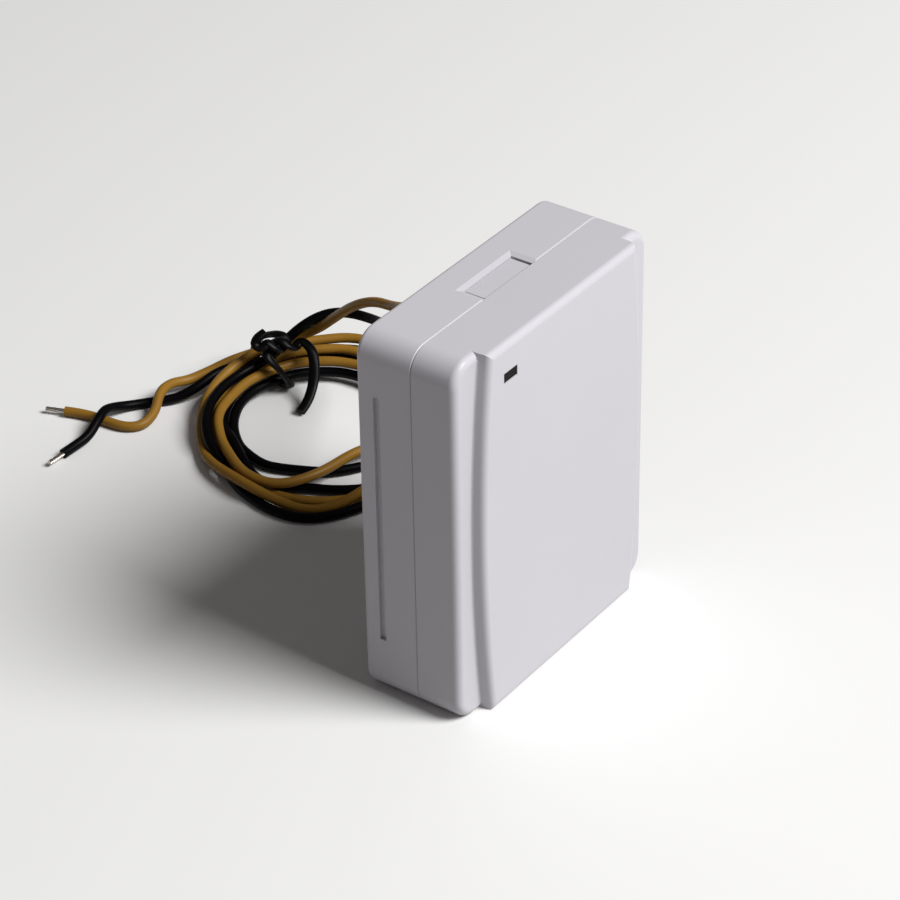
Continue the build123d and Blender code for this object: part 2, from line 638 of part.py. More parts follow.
def crystal():
    can = block(CRYSTAL_X - CRYSTAL_LENGTH / 2, CRYSTAL_X + CRYSTAL_LENGTH / 2,
                BOARD_FRONT, BOARD_FRONT - CRYSTAL_THICKNESS,
                CRYSTAL_Z - CRYSTAL_WIDTH / 2, CRYSTAL_Z + CRYSTAL_WIDTH / 2)
    can = fillet(can.edges().filter_by(Axis.Y), CRYSTAL_WIDTH / 2 - FIT_GAP)
    return fillet(can.faces().sort_by(Axis.Y)[0].edges(), SHIELD_FILLET)


def capacitor():
    base = block(CAPACITOR_X - CAPACITOR_RADIUS, CAPACITOR_X + CAPACITOR_RADIUS,
                 BOARD_FRONT, BOARD_FRONT - CAPACITOR_BASE,
                 CAPACITOR_Z - CAPACITOR_RADIUS, CAPACITOR_Z + CAPACITOR_RADIUS)
    can = rod(CAPACITOR_X, CAPACITOR_Z, CAPACITOR_RADIUS - FIT_GAP, BOARD_FRONT, BOARD_FRONT - CAPACITOR_HEIGHT)
    return base + fillet(can.faces().sort_by(Axis.Y)[0].edges(), SHIELD_FILLET)


def header_columns():
    """Where the service header's pins stand across the board."""
    return [HEADER_X + (k - (HEADER_PINS - 1) / 2) * HEADER_PITCH for k in range(HEADER_PINS)]


def service_header():
    half = HEADER_PINS * HEADER_PITCH / 2
    body = block(HEADER_X - half, HEADER_X + half, BOARD_FRONT, BOARD_FRONT - HEADER_BODY,
                 HEADER_Z - HEADER_BODY / 2, HEADER_Z + HEADER_BODY / 2)
    hole = HEADER_PIN / 2
    for x in header_columns():
        body -= block(x - hole, x + hole, BOARD_FRONT + 1, BOARD_FRONT - HEADER_BODY - 1,
                      HEADER_Z - hole, HEADER_Z + hole)
    return body


def header_pins():
    pins = Part()
    half = HEADER_PIN / 2
    for x in header_columns():
        pins += block(x - half, x + half, BOARD_FRONT, BOARD_FRONT - HEADER_BODY - HEADER_PIN_STAND,
                      HEADER_Z - half, HEADER_Z + half)
    return pins


def antenna():
    """A stiff wire that stands out of the board and runs up beside its left edge."""
    line = BOARD_FRONT - ANTENNA_STAND
    path = FilletPolyline((ANTENNA_X, BOARD_FRONT, ANTENNA_FOOT_Z), (ANTENNA_X, line, ANTENNA_FOOT_Z),
                          (ANTENNA_X, line, ANTENNA_FOOT_Z + ANTENNA_LENGTH), radius=ANTENNA_BEND)
    foot = Plane(origin=(ANTENNA_X, BOARD_FRONT, ANTENNA_FOOT_Z), z_dir=(0, -1, 0))
    return sweep(foot * Circle(ANTENNA_RADIUS), path=path)


def battery():
    can = rod_up(BATTERY_X, BATTERY_Y, BATTERY_RADIUS, BATTERY_BOTTOM, BATTERY_TOP)
    can = fillet(can.edges().filter_by(GeomType.CIRCLE), BATTERY_EDGE)
    return can + rod_up(BATTERY_X, BATTERY_Y, BATTERY_NUB_RADIUS, BATTERY_TOP - 1, BATTERY_TOP + BATTERY_NUB)


def contact_plate(z_low, z_high):
    """A plate against a bay wall, with a tab that reaches the board's face."""
    half = CONTACT_WIDTH / 2
    plate = block(BATTERY_X - half, BATTERY_X + half, BATTERY_Y - half, BOARD_FRONT, z_low, z_high)
    tab_left = BOARD_RIGHT - CONTACT_TAB
    return plate + block(tab_left, BATTERY_X, BOARD_FRONT - CONTACT_TAB, BOARD_FRONT, z_low, z_high)


def positive_contact():
    return contact_plate(BAY_HIGH - CONTACT_THICKNESS, BAY_HIGH)


def negative_contact():
    """The lower plate carries a sprung leaf that arches up to the battery."""
    plate = contact_plate(BAY_LOW, BAY_LOW + CONTACT_THICKNESS)
    half = CONTACT_WIDTH / 2 - CONTACT_THICKNESS
    base, crown = BAY_LOW + CONTACT_THICKNESS / 2, BATTERY_BOTTOM
    outer = ThreePointArc((-half, base), (0, crown), (half, base))
    inner_half = half - 1.2 * CONTACT_THICKNESS
    inner = ThreePointArc((inner_half, base), (0, crown - CONTACT_THICKNESS), (-inner_half, base))
    edges = outer + Line((half, base), (inner_half, base)) + inner + Line((-inner_half, base), (-half, base))
    leaf = prism(make_face(edges), BATTERY_Y + LEAF_WIDTH / 2, BATTERY_Y - LEAF_WIDTH / 2)
    return plate + Pos(BATTERY_X, 0, 0) * leaf


def wire_grommet():
    outer = BACK - FIT_GAP
    inner = FLOOR - GROMMET_FLANGE_THICKNESS
    body = rod(EXIT_X, EXIT_Z, GROMMET_NECK, outer, inner)
    body += rod(EXIT_X, EXIT_Z, GROMMET_FLANGE, outer, POCKET_BACK)
    body += rod(EXIT_X, EXIT_Z, GROMMET_FLANGE, FLOOR, inner)
    return body - rod(EXIT_X, EXIT_Z, GROMMET_BORE, outer + 1, inner - 1)


def bends(points, corner=None):
    """Each bend's radius: as large as its two runs allow, or the given one where it turns a corner."""
    runs = [Vector(*b) - Vector(*a) for a, b in zip(points, points[1:])]
    radii = []
    for before, after in zip(runs, runs[1:]):
        turn = before.get_angle(after)
        radius = 0.45 * min(before.length, after.length) / math.tan(math.radians(turn) / 2)
        radii.append(corner if corner and turn > CORNER_TURN else radius)
    return radii


def line_of(points, corner=None):
    """Straight runs joined by tangent arcs."""
    return FilletPolyline(*points, radius=bends(points, corner))


def tube(name, points, radius, corner=None):
    """A round tube on straight runs joined by tangent arcs."""
    path = line_of(points, corner)
    start = Plane(origin=path @ 0, z_dir=path % 0)
    solid = sweep(start * Circle(radius), path=path)
    ideal = math.pi * radius**2 * path.length
    print(f"{name}: length {path.length:.1f}, volume over section times length {solid.volume / ideal:.4f},",
          "radii", [round(r, 1) for r in bends(points, corner)])
    return solid


def direction(angle):
    """A level unit vector at an angle from +X."""
    return Vector(math.cos(math.radians(angle)), math.sin(math.radians(angle)), 0)


COIL_OUTWARD = direction(COIL_START_ANGLE)
COIL_HEADING = direction(COIL_START_ANGLE + 90)


def quarter_radius(k):
    """Radius of the coil's quarter turn k. Later turns are larger, and fan out away from the tie."""
    turn, quarter = divmod(k, 4)
    drift = COIL_STRAND_PITCH / 2 if quarter > 1 else 0
    return COIL_RADIUS + drift + turn * COIL_FAN[quarter % 2]


def coil_span():
    """How far the coil's near side lies from its start."""
    last = 4 * (COIL_TURNS - 1)
    return quarter_radius(last) + quarter_radius(last + 1) - (COIL_TURNS - 1) * COIL_STRAND_PITCH


def coil_tilt():
    """Angle that lifts the tied side on to its tie, while the near side lies on the floor."""
    tied = FLOOR_GAP + 2 * TIE_RADIUS + SOFT_GAP + WIRE_RADIUS
    return math.degrees(math.asin((tied - FLOOR_GAP - WIRE_RADIUS) / coil_span()))


def coil_path(layer):
    """The centreline of one wire's coil, with a straight stretch of one wire diameter at both ends."""
    straight = 2 * WIRE_RADIUS
    start = direction(COIL_START_ANGLE) * COIL_RADIUS + Vector(*COIL_CENTRE, 0)
    path = Line(start - COIL_HEADING * straight, start)
    for k in range(4 * COIL_TURNS):
        path += JernArc(path @ 1, path % 1, quarter_radius(k), 90)
    path += Line(path @ 1, path @ 1 + COIL_HEADING * straight)
    near = start - COIL_OUTWARD * coil_span()
    hinge = Axis(near, COIL_HEADING)
    lifted = path.rotate(hinge, -coil_tilt())
    up = Vector(0, 0, 1).rotate(Axis((0, 0, 0), COIL_HEADING), -coil_tilt())
    return Pos(0, 0, FLOOR_GAP + WIRE_RADIUS) * Pos(*(up * layer * LAYER_PITCH)) * lifted


def coil(name, layer):
    path = coil_path(layer)
    start = Plane(origin=path @ 0, z_dir=path % 0)
    solid = sweep(start * Circle(WIRE_RADIUS), path=path)
    count = 600
    points = [path @ (k / count) for k in range(count + 1)]
    step = path.length / count
    apart = int(4 * COIL_STRAND_PITCH / step)
    gap = min((points[a] - points[b]).length for a in range(count + 1) for b in range(a + apart, count + 1))
    ideal = math.pi * WIRE_RADIUS**2 * path.length
    print(f"{name}: length {path.length:.1f}, volume over section times length {solid.volume / ideal:.4f},",
          f"least gap to itself {gap - 2 * WIRE_RADIUS:.2f}")
    return solid


def coil_ends(layer):
    """Where a coil starts and ends."""
    path = coil_path(layer)
    return path @ 0, path @ 1


def lead_points(layer, chosen):
    """A free lead: its chosen points, then the run that comes in line with the coil."""
    start = coil_ends(layer)[0]
    return chosen + [tuple(start - COIL_HEADING * RUN_IN), tuple(start)]


def tail_points(layer, chosen):
    """A tail: the run that leaves in line with the coil, then its chosen points."""
    end = coil_ends(layer)[1]
    return [tuple(end), tuple(end + COIL_HEADING * RUN_IN)] + chosen


ENTRY_X = BOARD_RIGHT - ENTRY_DEPTH
ENTRY_Y = BOARD_FRONT - ENTRY_RISE
UPPER_POLE, LOWER_POLE = terminal_poles()
YELLOW_X = EXIT_X + WIRE_PITCH / 2
BLACK_X = EXIT_X - WIRE_PITCH / 2
ON_FLOOR = FLOOR_GAP + WIRE_RADIUS

YELLOW_INSIDE = [
    (ENTRY_X, ENTRY_Y, UPPER_POLE), (ENTRY_X + 5.0, ENTRY_Y, UPPER_POLE), (11.2, 1.0, 50.2),
    (YELLOW_X, 5.6, EXIT_Z), (YELLOW_X, BACK, EXIT_Z)]
BLACK_INSIDE = [
    (ENTRY_X, ENTRY_Y, LOWER_POLE), (ENTRY_X + 4.2, ENTRY_Y, LOWER_POLE), (9.9, 1.5, 47.3),
    (BLACK_X, 5.6, EXIT_Z), (BLACK_X, BACK, EXIT_Z)]
YELLOW_LEAD = [
    (YELLOW_X, BACK, EXIT_Z), (YELLOW_X, 17.8, EXIT_Z), (17.0, 25.8, 46.6), (23.1, 33.4, 41.2),
    (30.4, 41.2, 34.0), (37.0, 48.3, 27.0), (41.4, 54.6, 20.6), (43.3, 60.2, 14.8), (43.3, 65.2, 10.0),
    (42.2, 69.4, 6.4), (40.3, 73.0, 3.9)]
BLACK_LEAD = [
    (BLACK_X, BACK, EXIT_Z), (BLACK_X, 18.2, EXIT_Z), (15.2, 26.8, 46.6), (21.3, 34.9, 41.2),
    (28.8, 42.8, 34.0), (35.5, 49.9, 27.0), (39.8, 56.2, 21.2), (41.6, 61.7, 16.0), (41.8, 66.4, 11.8),
    (41.3, 70.2, 8.3), (40.1, 73.2, 6.1)]
YELLOW_TAIL = [
    (28.6, 86.3, 2.0), (24.3, 88.2, ON_FLOOR), (20.2, 89.4, ON_FLOOR), (16.0, 89.6, ON_FLOOR),
    (12.2, 91.0, ON_FLOOR), (9.6, 94.4, ON_FLOOR), (8.6, 98.4, ON_FLOOR), (7.2, 102.0, ON_FLOOR)]
BLACK_TAIL = [
    (28.9, 86.9, 4.0), (25.4, 90.1, 2.2), (21.6, 92.6, 1.1), (17.4, 94.9, ON_FLOOR), (14.0, 96.0, 1.7),
    (10.9, 96.5, 3.3), (6.9, 96.1, 3.3), (3.4, 94.9, 1.7), (-0.3, 93.8, ON_FLOOR), (-3.4, 93.3, ON_FLOOR)]


def conductor(tail):
    """The bare stripped end of a wire, in line with its last run."""
    before, end = Vector(*tail[-2]), Vector(*tail[-1])
    way = (end - before).normalized()
    tip = end + way * STRIPPED_LENGTH
    print("bare end from", tuple(round(v, 3) for v in end), "to", tuple(round(v, 3) for v in tip),
          "along", tuple(round(v, 5) for v in way))
    return extrude(Plane(origin=end, z_dir=way) * Circle(STRAND_RADIUS), STRIPPED_LENGTH)


def wire_tie_points():
    """From the loose end inside the coil, once round the bundle of strands, to a curled end on top."""
    seat = coil_ends(0)[0] - COIL_HEADING * (TIE_SETBACK - 2 * WIRE_RADIUS)
    reach = WIRE_RADIUS + SOFT_GAP + TIE_RADIUS
    inner, outer = -reach, COIL_TURNS * COIL_STRAND_PITCH + reach
    under, over = -reach, LAYER_PITCH + reach + SOFT_GAP
    hanging = [(4.9, -13.1, under + SLIDE_GAP), (1.0, -9.9, -1.0), (-1.1, -7.2, 2.3), (-1.9, -3.9, over + 1.3)]
    ring = [(-1.6, outer, over + 0.5), (-0.4, outer, under), (0.6, inner, under), (1.4, inner, over + 0.7)]
    curl = [(3.9, 1.6, over + 1.1), (3.0, 5.0, over + 1.5), (0.4, 6.2, over + 2.2)]
    return [
        tuple(seat + COIL_HEADING * ahead + COIL_OUTWARD * outward + Vector(0, 0, up))
        for ahead, outward, up in hanging + ring + curl]


def wire_tie():
    return tube("wire_tie", wire_tie_points(), TIE_RADIUS, TIE_CORNER)


NODES = {
    "rear_housing": rear_housing,
    "front_cover": front_cover,
    "latch_tab": latch_tab,
    "led_window": led_window,
    "light_pipe": light_pipe,
    "indicator_led": indicator_led,
    "circuit_board": circuit_board,
    "board_screws": board_screws,
    "tamper_switch": tamper_switch,
    "tamper_plunger": tamper_plunger,
    "learn_switch": learn_switch,
    "learn_button": learn_button,
    "terminal_block": terminal_block,
    "terminal_screws": terminal_screws,
    "radio_module": radio_module,
    "radio_shield": radio_shield,
    "controller_chip": controller_chip,
    "crystal": crystal,
    "capacitor": capacitor,
    "service_header": service_header,
    "header_pins": header_pins,
    "antenna": antenna,
    "battery": battery,
    "positive_contact": positive_contact,
    "negative_contact": negative_contact,
    "wire_grommet": wire_grommet,
    "wire_tie": wire_tie,
}

os.makedirs("parts", exist_ok=True)
made = {name: make() for name, make in NODES.items()}
for layer, wire, inside, lead, tail in (
    (0, "yellow", YELLOW_INSIDE, YELLOW_LEAD, YELLOW_TAIL),
    (1, "black", BLACK_INSIDE, BLACK_LEAD, BLACK_TAIL),
):
    made[f"{wire}_wire_inside"] = tube(f"{wire}_wire_inside", inside, WIRE_RADIUS)
    made[f"{wire}_wire_lead"] = tube(f"{wire}_wire_lead", lead_points(layer, lead), WIRE_RADIUS)
    made[f"{wire}_wire_coil"] = coil(f"{wire}_wire_coil", layer)
    made[f"{wire}_wire_tail"] = tube(f"{wire}_wire_tail", tail_points(layer, tail), WIRE_RADIUS)
    made[f"{wire}_conductor"] = conductor(tail)
for name, solid in made.items():
    export_step(solid, f"parts/{name}.step")
print("wall holes", wall_holes())
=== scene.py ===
import json
import logging
import math
from dataclasses import dataclass, replace
from enum import Enum
from functools import cache, cached_property

import bpy
from mathutils import Matrix, Vector


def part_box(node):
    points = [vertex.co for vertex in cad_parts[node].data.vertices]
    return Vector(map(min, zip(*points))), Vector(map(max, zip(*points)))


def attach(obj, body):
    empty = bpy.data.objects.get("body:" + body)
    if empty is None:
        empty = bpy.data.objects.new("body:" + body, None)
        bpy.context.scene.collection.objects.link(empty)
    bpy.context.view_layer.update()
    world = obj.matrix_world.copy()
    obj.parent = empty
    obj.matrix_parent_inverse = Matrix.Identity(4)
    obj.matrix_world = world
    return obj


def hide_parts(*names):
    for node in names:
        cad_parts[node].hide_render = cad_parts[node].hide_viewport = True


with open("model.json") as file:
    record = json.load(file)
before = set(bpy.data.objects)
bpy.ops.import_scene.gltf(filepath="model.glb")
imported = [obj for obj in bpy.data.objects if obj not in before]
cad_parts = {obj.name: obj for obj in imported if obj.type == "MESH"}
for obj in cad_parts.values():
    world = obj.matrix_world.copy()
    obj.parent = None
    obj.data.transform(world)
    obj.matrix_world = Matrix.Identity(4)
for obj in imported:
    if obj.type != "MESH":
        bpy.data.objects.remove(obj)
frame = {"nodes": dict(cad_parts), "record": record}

LOG = logging.getLogger("dry_contact_sensor")
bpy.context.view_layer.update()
MM = 0.001
CORD_ORDER, CORD_STEPS, CORD_ROUNDNESS = 3, 6, 4
QUARTER_TURN = 90.0
PAD_REACH = 1.22
SRGB_KNEE, SRGB_SLOPE, SRGB_OFFSET, SRGB_GAMMA = 0.04045, 12.92, 0.055, 2.4
SOCKETS = {int: "NodeSocketInt", float: "NodeSocketFloat", tuple: "NodeSocketColor",
           type(None): "NodeSocketVector"}

Point = tuple[float, float, float]
Colour = tuple[float, float, float]
Socket = bpy.types.NodeSocket
Node = bpy.types.Node
Tree = bpy.types.NodeTree
Object = bpy.types.Object
Feeds = dict[str | int, object]
Sizes = dict[str, float | int]

GREY: Colour = (0.5, 0.5, 0.5)


def tone(*levels: int) -> Colour:
    """A scene linear colour from the numbers that a screen shows.

    Args:
        *levels: Red, green and blue from 0 to 255.

    Returns:
        The linear red, green and blue.
    """
    parts = [level / 255 for level in levels]
    return tuple(part / SRGB_SLOPE if part <= SRGB_KNEE
                 else ((part + SRGB_OFFSET) / (1 + SRGB_OFFSET)) ** SRGB_GAMMA for part in parts)


def show(name: str, data: bpy.types.ID) -> Object:
    """A new object of a mesh, curve, lamp or camera, linked to the scene."""
    made = bpy.data.objects.new(name, data)
    bpy.context.collection.objects.link(made)
    return made


class Sheen(Enum):
    """How shiny a finish is, as a roughness."""

    GLOSS = 0.26
    SATIN = 0.4
    SOFT = 0.52
    MATTE = 0.7


class Marks(Enum):
    """Fine markings that a finish can carry: copper tracks, or holes filled with painted shade."""

    NONE = 0
    COPPER_RUNS = 1
    # Painted shade: the holes of a can's lid take a dark colour for the shaded inside.
    HOLES = 2


class NodeDesk:
    """Adds and joins the nodes of one node tree."""

    def __init__(self, tree: Tree) -> None:
        """Keeps the tree that the nodes go into."""
        self.tree = tree

    def feed(self, node: Node, feeds: Feeds) -> None:
        """Links sockets to a node's inputs, or sets their values.

        Args:
            node: The node.
            feeds: A socket or a value by input name or number.
        """
        for label, value in feeds.items():
            if isinstance(value, Socket):
                self.tree.links.new(value, node.inputs[label])
            else:
                node.inputs[label].default_value = value

    def add(self, kind: str, feeds: Feeds | None = None, **settings: object) -> Node:
        """Adds a node, sets its options and feeds its inputs.

        Args:
            kind: The node's type name.
            feeds: A socket or a value by input name or number.
            **settings: Its options by attribute name.

        Returns:
            The new node.
        """
        node = self.tree.nodes.new(kind)
        for name, value in settings.items():
            setattr(node, name, value)
        self.feed(node, feeds or {})
        return node

    def out(self, kind: str, label: str, feeds: Feeds | None = None, **settings: object) -> Socket:
        """Adds a node as add() does and returns the output of a name."""
        return self.add(kind, feeds, **settings).outputs[label]

    def math(self, operation: str, first: object, second: object = 0.0) -> Socket:
        """The output of a Math node on two numbers or sockets."""
        return self.out("ShaderNodeMath", "Value", {0: first, 1: second}, operation=operation)

    def vector(self, **parts: object) -> Socket:
        """A vector of its X, Y and Z, each a number or a socket."""
        return self.out("ShaderNodeCombineXYZ", "Vector", parts)

    def noise(self, place: Socket, scale: object, detail: float) -> Socket:
        """Smooth noise from 0 to 1, whose detail is how much finer noise it carries."""
        return self.out("ShaderNodeTexNoise", "Fac", {"Vector": place, "Scale": scale, "Detail": detail})

    def mix(self, share: Socket, under: object, over: object) -> Socket:
        """A mix of two colours: the first where the share is 0, the second where it is 1."""
        return self.out("ShaderNodeMix", "Result", {"Factor": share, "A": under, "B": over}, data_type="RGBA")

    def group(self, tree: Tree, feeds: Feeds) -> Node:
        """Places a shader node group and feeds it."""
        return self.add("ShaderNodeGroup", feeds, node_tree=tree)


class Group(NodeDesk):
    """The desk of a new node group with named sockets."""

    def __init__(self, name: str, kind: str, inputs: dict[str, object], outputs: dict[str, str]) -> None:
        """Opens the group.

        Args:
            name: The group's name.
            kind: The tree's type name.
            inputs: Default values by socket name. A triple is a colour, None a vector, a text a socket type.
            outputs: Socket types by socket name.
        """
        super().__init__(bpy.data.node_groups.new(name, kind))
        new_socket = self.tree.interface.new_socket
        for label, value in inputs.items():
            made = new_socket(name=label, in_out="INPUT",
                              socket_type=value if isinstance(value, str) else SOCKETS[type(value)])
            if isinstance(value, (int, float, tuple)):
                made.default_value = (*value, 1) if isinstance(value, tuple) else value
        for label, socket_type in outputs.items():
            new_socket(name=label, in_out="OUTPUT", socket_type=socket_type)
        self.come, self.go = self.add("NodeGroupInput"), self.add("NodeGroupOutput")

    def get(self, label: str) -> Socket:
        """The socket of a named input."""
        return self.come.outputs[label]

    def sizes(self, *labels: str) -> tuple[Socket, ...]:
        """The sockets of several named inputs."""
        return tuple(self.get(label) for label in labels)

    def pick(self, mask: Socket, over: str) -> Socket:
        """The colour Under with another input's colour where a mask is 1."""
        return self.mix(mask, self.get("Under"), self.get(over))

    def close(self, **results: Socket) -> Tree:
        """Feeds the group's outputs by name and returns the finished group."""
        self.feed(self.go, results)
        return self.tree


@dataclass
class Effects:
    """Shader node groups that several finishes share. Each is built once, when it is first asked for.

    Attributes:
        broad_share: Height of the broad grain next to the fine grain.
        brush_length: Scale of brushed lines across and along them.
        tracks: Scale, length and spacing of each layer of copper tracks.
        track_width: Width of a track.
        patch_scale: Scale of the patches that have tracks, next to the tracks' own.
        hole_pitch: Distance between holes, in metres.
        hole_radius: A hole's radius as a share of the pitch.
    """

    broad_share: float = 1.6
    brush_length: Point = (1.0, 1.0, 0.04)
    tracks: tuple[Point, ...] = ((500.0, 2.1, 0.8), (390.0, 0.9, 2.3))
    track_width: float = 0.07
    patch_scale: float = 0.45
    hole_pitch: float = 1.8 * MM
    hole_radius: float = 0.2

    @staticmethod
    def group(name: str, inputs: dict[str, object], *outputs: str) -> Group:
        """Opens a shader group that takes a place. An output named Color is a colour, others are values."""
        kinds = {label: SOCKETS[tuple if label == "Color" else float] for label in outputs}
        return Group(name, "ShaderNodeTree", {"Vector": None} | inputs, kinds)

    @cached_property
    def grain(self) -> Tree:
        """Fine moulded texture: a height for a bump and a slow drift for roughness."""
        desk = self.group("moulded_grain", {"Fine": 9000.0, "Broad": 90.0}, "Height", "Drift")
        place, fine_scale, broad_scale = desk.sizes("Vector", "Fine", "Broad")
        fine, broad = desk.noise(place, fine_scale, detail=2.0), desk.noise(place, broad_scale, detail=3.0)
        return desk.close(Height=desk.math("ADD", fine, desk.math("MULTIPLY", broad, self.broad_share)),
                          Drift=desk.math("SUBTRACT", broad, 0.5))

    @cached_property
    def mottle(self) -> Tree:
        """Slow variation of a colour between itself and a second one."""
        inputs = {"Scale": 60.0, "Main": GREY, "Second": GREY, "Amount": 0.5}
        desk = self.group("colour_mottle", inputs, "Color")
        noise = desk.noise(*desk.sizes("Vector", "Scale"), detail=4.0)
        share = desk.math("MULTIPLY", noise, desk.get("Amount"))
        return desk.close(Color=desk.mix(share, desk.get("Main"), desk.get("Second")))

    @cached_property
    def brushed(self) -> Tree:
        """Long fine scratches across one direction."""
        desk = self.group("brushed_lines", {"Scale": 900.0}, "Height", "Streak")
        stretched = desk.out("ShaderNodeVectorMath", "Vector", {0: desk.get("Vector"), 1: self.brush_length},
                             operation="MULTIPLY")
        lines = desk.noise(stretched, desk.get("Scale"), detail=3.0)
        return desk.close(Height=lines, Streak=desk.math("SUBTRACT", lines, 0.5))

    @cached_property
    def copper_runs(self) -> Tree:
        """Copper tracks under a board's solder mask, in the board's own plane."""
        desk = self.group("copper_runs", {"Under": GREY, "Mark": GREY}, "Color")
        apart = desk.add("ShaderNodeSeparateXYZ", {0: desk.get("Vector")}).outputs
        flat = desk.vector(X=apart["X"], Y=apart["Z"])
        masks = []
        for scale, length, spacing in self.tracks:
            lines = desk.out(
                "ShaderNodeTexBrick", "Fac", {
                    "Vector": flat, "Scale": scale, "Brick Width": length, "Row Height": spacing,
                    "Mortar Size": self.track_width, "Mortar Smooth": 0.0},
                offset=0.37, squash=0.6, squash_frequency=3)
            patch = desk.math("GREATER_THAN", desk.noise(flat, scale * self.patch_scale, detail=2.0), 0.5)
            masks.append(desk.math("MULTIPLY", lines, patch))
        return desk.close(Color=desk.pick(desk.math("MAXIMUM", *masks), "Mark"))

    @cached_property
    def hole_grid(self) -> Tree:
        """Rows of small round holes in a can's lid, filled with a dark colour as painted shade of the can's
        inside.
        """
        desk = self.group("hole_grid", {"Under": GREY, "Mark": GREY}, "Color")
        apart = desk.add("ShaderNodeSeparateXYZ", {0: desk.get("Vector")}).outputs
        cells = [desk.math("FRACT", desk.math("DIVIDE", apart[axis], self.hole_pitch)) for axis in "XZ"]
        away = [desk.math("ABSOLUTE", desk.math("SUBTRACT", cell, 0.5)) for cell in cells]
        square = desk.math("ADD", *[desk.math("POWER", part, 2.0) for part in away])
        hole = desk.math("LESS_THAN", desk.math("SQRT", square), self.hole_radius)
        return desk.close(Color=desk.pick(hole, "Mark"))

    @cached_property
    def end_trim(self) -> Tree:
        """A second colour, metal or not, past two planes across an axis."""
        desk = self.group("end_trim", {"Axis": None, "Under": GREY, "Trim": GREY, "Low": 0.0, "High": 1.0,
                                       "Inside": 0.0, "Outside": 1.0}, "Color", "Metallic")
        along = desk.out("ShaderNodeVectorMath", "Value", {0: desk.get("Vector"), 1: desk.get("Axis")},
                         operation="DOT_PRODUCT")
        mask = desk.math("MAXIMUM", desk.math("LESS_THAN", along, desk.get("Low")),
                         desk.math("GREATER_THAN", along, desk.get("High")))
        inside = desk.math("MULTIPLY", desk.math("SUBTRACT", 1.0, mask), desk.get("Inside"))
        outside = desk.math("MULTIPLY", mask, desk.get("Outside"))
        return desk.close(Color=desk.pick(mask, "Trim"), Metallic=desk.math("ADD", inside, outside))


EFFECTS = Effects()


@dataclass(frozen=True)
class Trim:
    """What a finish turns into past two planes across an axis.

    Attributes:
        colour: Its colour there, linear.
        metallic: 1 for a metal.
        axis: The axis.
        low: The lower plane, in metres.
        high: The upper plane.
    """

    colour: Colour
    metallic: float
    axis: Point
    low: float
    high: float


@dataclass(frozen=True)
class Finish:
    """A finish with its base colours, shine and grain.

    Attributes:
        name: The material's name.
        main: Its colour, linear.
        second: The colour that it drifts towards.
        sheen: How shiny it is.
        metallic: 1 for a metal.
        drift: How far the colour drifts, 0 to 1.
        wander: How far the roughness wanders.
        fine: Scale of the fine grain, per metre.
        broad: Scale of the broad grain, per metre.
        bump: Height of the grain in metres.
        coat: Weight of a clear coat.
        clear: Transmission weight of a clear plastic.
        mirror: Specular level of the surface.
        streaks: True for brushed metal.
        marks: Fine markings on it.
        mark: The markings' colour; in holes it is painted shade.
        trim: What it turns into at its ends, or None.
    """

    name: str
    main: Colour
    second: Colour
    sheen: Sheen
    metallic: float = 0.0
    drift: float = 0.5
    wander: float = 0.12
    fine: float = 9000.0
    broad: float = 90.0
    bump: float = 0.01 * MM
    coat: float = 0.0
    clear: float = 0.0
    mirror: float = 0.5
    streaks: bool = False
    marks: Marks = Marks.NONE
    mark: Colour = (0.02, 0.02, 0.02)
    trim: Trim | None = None

    def _colour(self, desk: NodeDesk, place: Socket, shader: Node) -> Socket:
        """The finish's colour with its markings and trim.

        Args:
            desk: The material's desk.
            place: The object coordinates.
            shader: The shader, whose metallic value follows the trim.

        Returns:
            The colour.
        """
        colour = desk.group(EFFECTS.mottle, {
            "Vector": place, "Scale": self.broad, "Main": (*self.main, 1), "Second": (*self.second, 1),
            "Amount": self.drift}).outputs["Color"]
        if self.marks is not Marks.NONE:
            tree = EFFECTS.copper_runs if self.marks is Marks.COPPER_RUNS else EFFECTS.hole_grid
            marks = desk.group(tree, {"Vector": place, "Under": colour, "Mark": (*self.mark, 1)})
            colour = marks.outputs["Color"]
        if self.trim is not None:
            ends = desk.group(EFFECTS.end_trim, {
                "Vector": place, "Axis": self.trim.axis, "Under": colour, "Trim": (*self.trim.colour, 1),
                "Low": self.trim.low, "High": self.trim.high, "Inside": self.metallic,
                "Outside": self.trim.metallic}).outputs
            desk.feed(shader, {"Metallic": ends["Metallic"]})
            colour = ends["Color"]
        return colour

    @cache
    def material(self) -> bpy.types.Material:
        """The finish as a material, built on the first call.

        Returns:
            The material.
        """
        made = bpy.data.materials.new(self.name)
        made.use_nodes = True
        desk = NodeDesk(made.node_tree)
        shader = made.node_tree.nodes["Principled BSDF"]
        place = desk.out("ShaderNodeTexCoord", "Object")
        desk.feed(shader, {"Metallic": self.metallic, "Coat Weight": self.coat,
                           "Transmission Weight": self.clear, "Specular IOR Level": self.mirror})
        if self.streaks:
            texture = desk.group(EFFECTS.brushed, {"Vector": place, "Scale": self.fine})
        else:
            texture = desk.group(EFFECTS.grain, {"Vector": place, "Fine": self.fine, "Broad": self.broad})
        height, wander = texture.outputs
        bump = {"Distance": self.bump, "Strength": 1.0, "Height": height}
        desk.feed(shader, {
            "Base Color": self._colour(desk, place, shader),
            "Roughness": desk.math("ADD", desk.math("MULTIPLY", wander, self.wander * 2), self.sheen.value),
            "Normal": desk.out("ShaderNodeBump", "Normal", bump)})
        return made


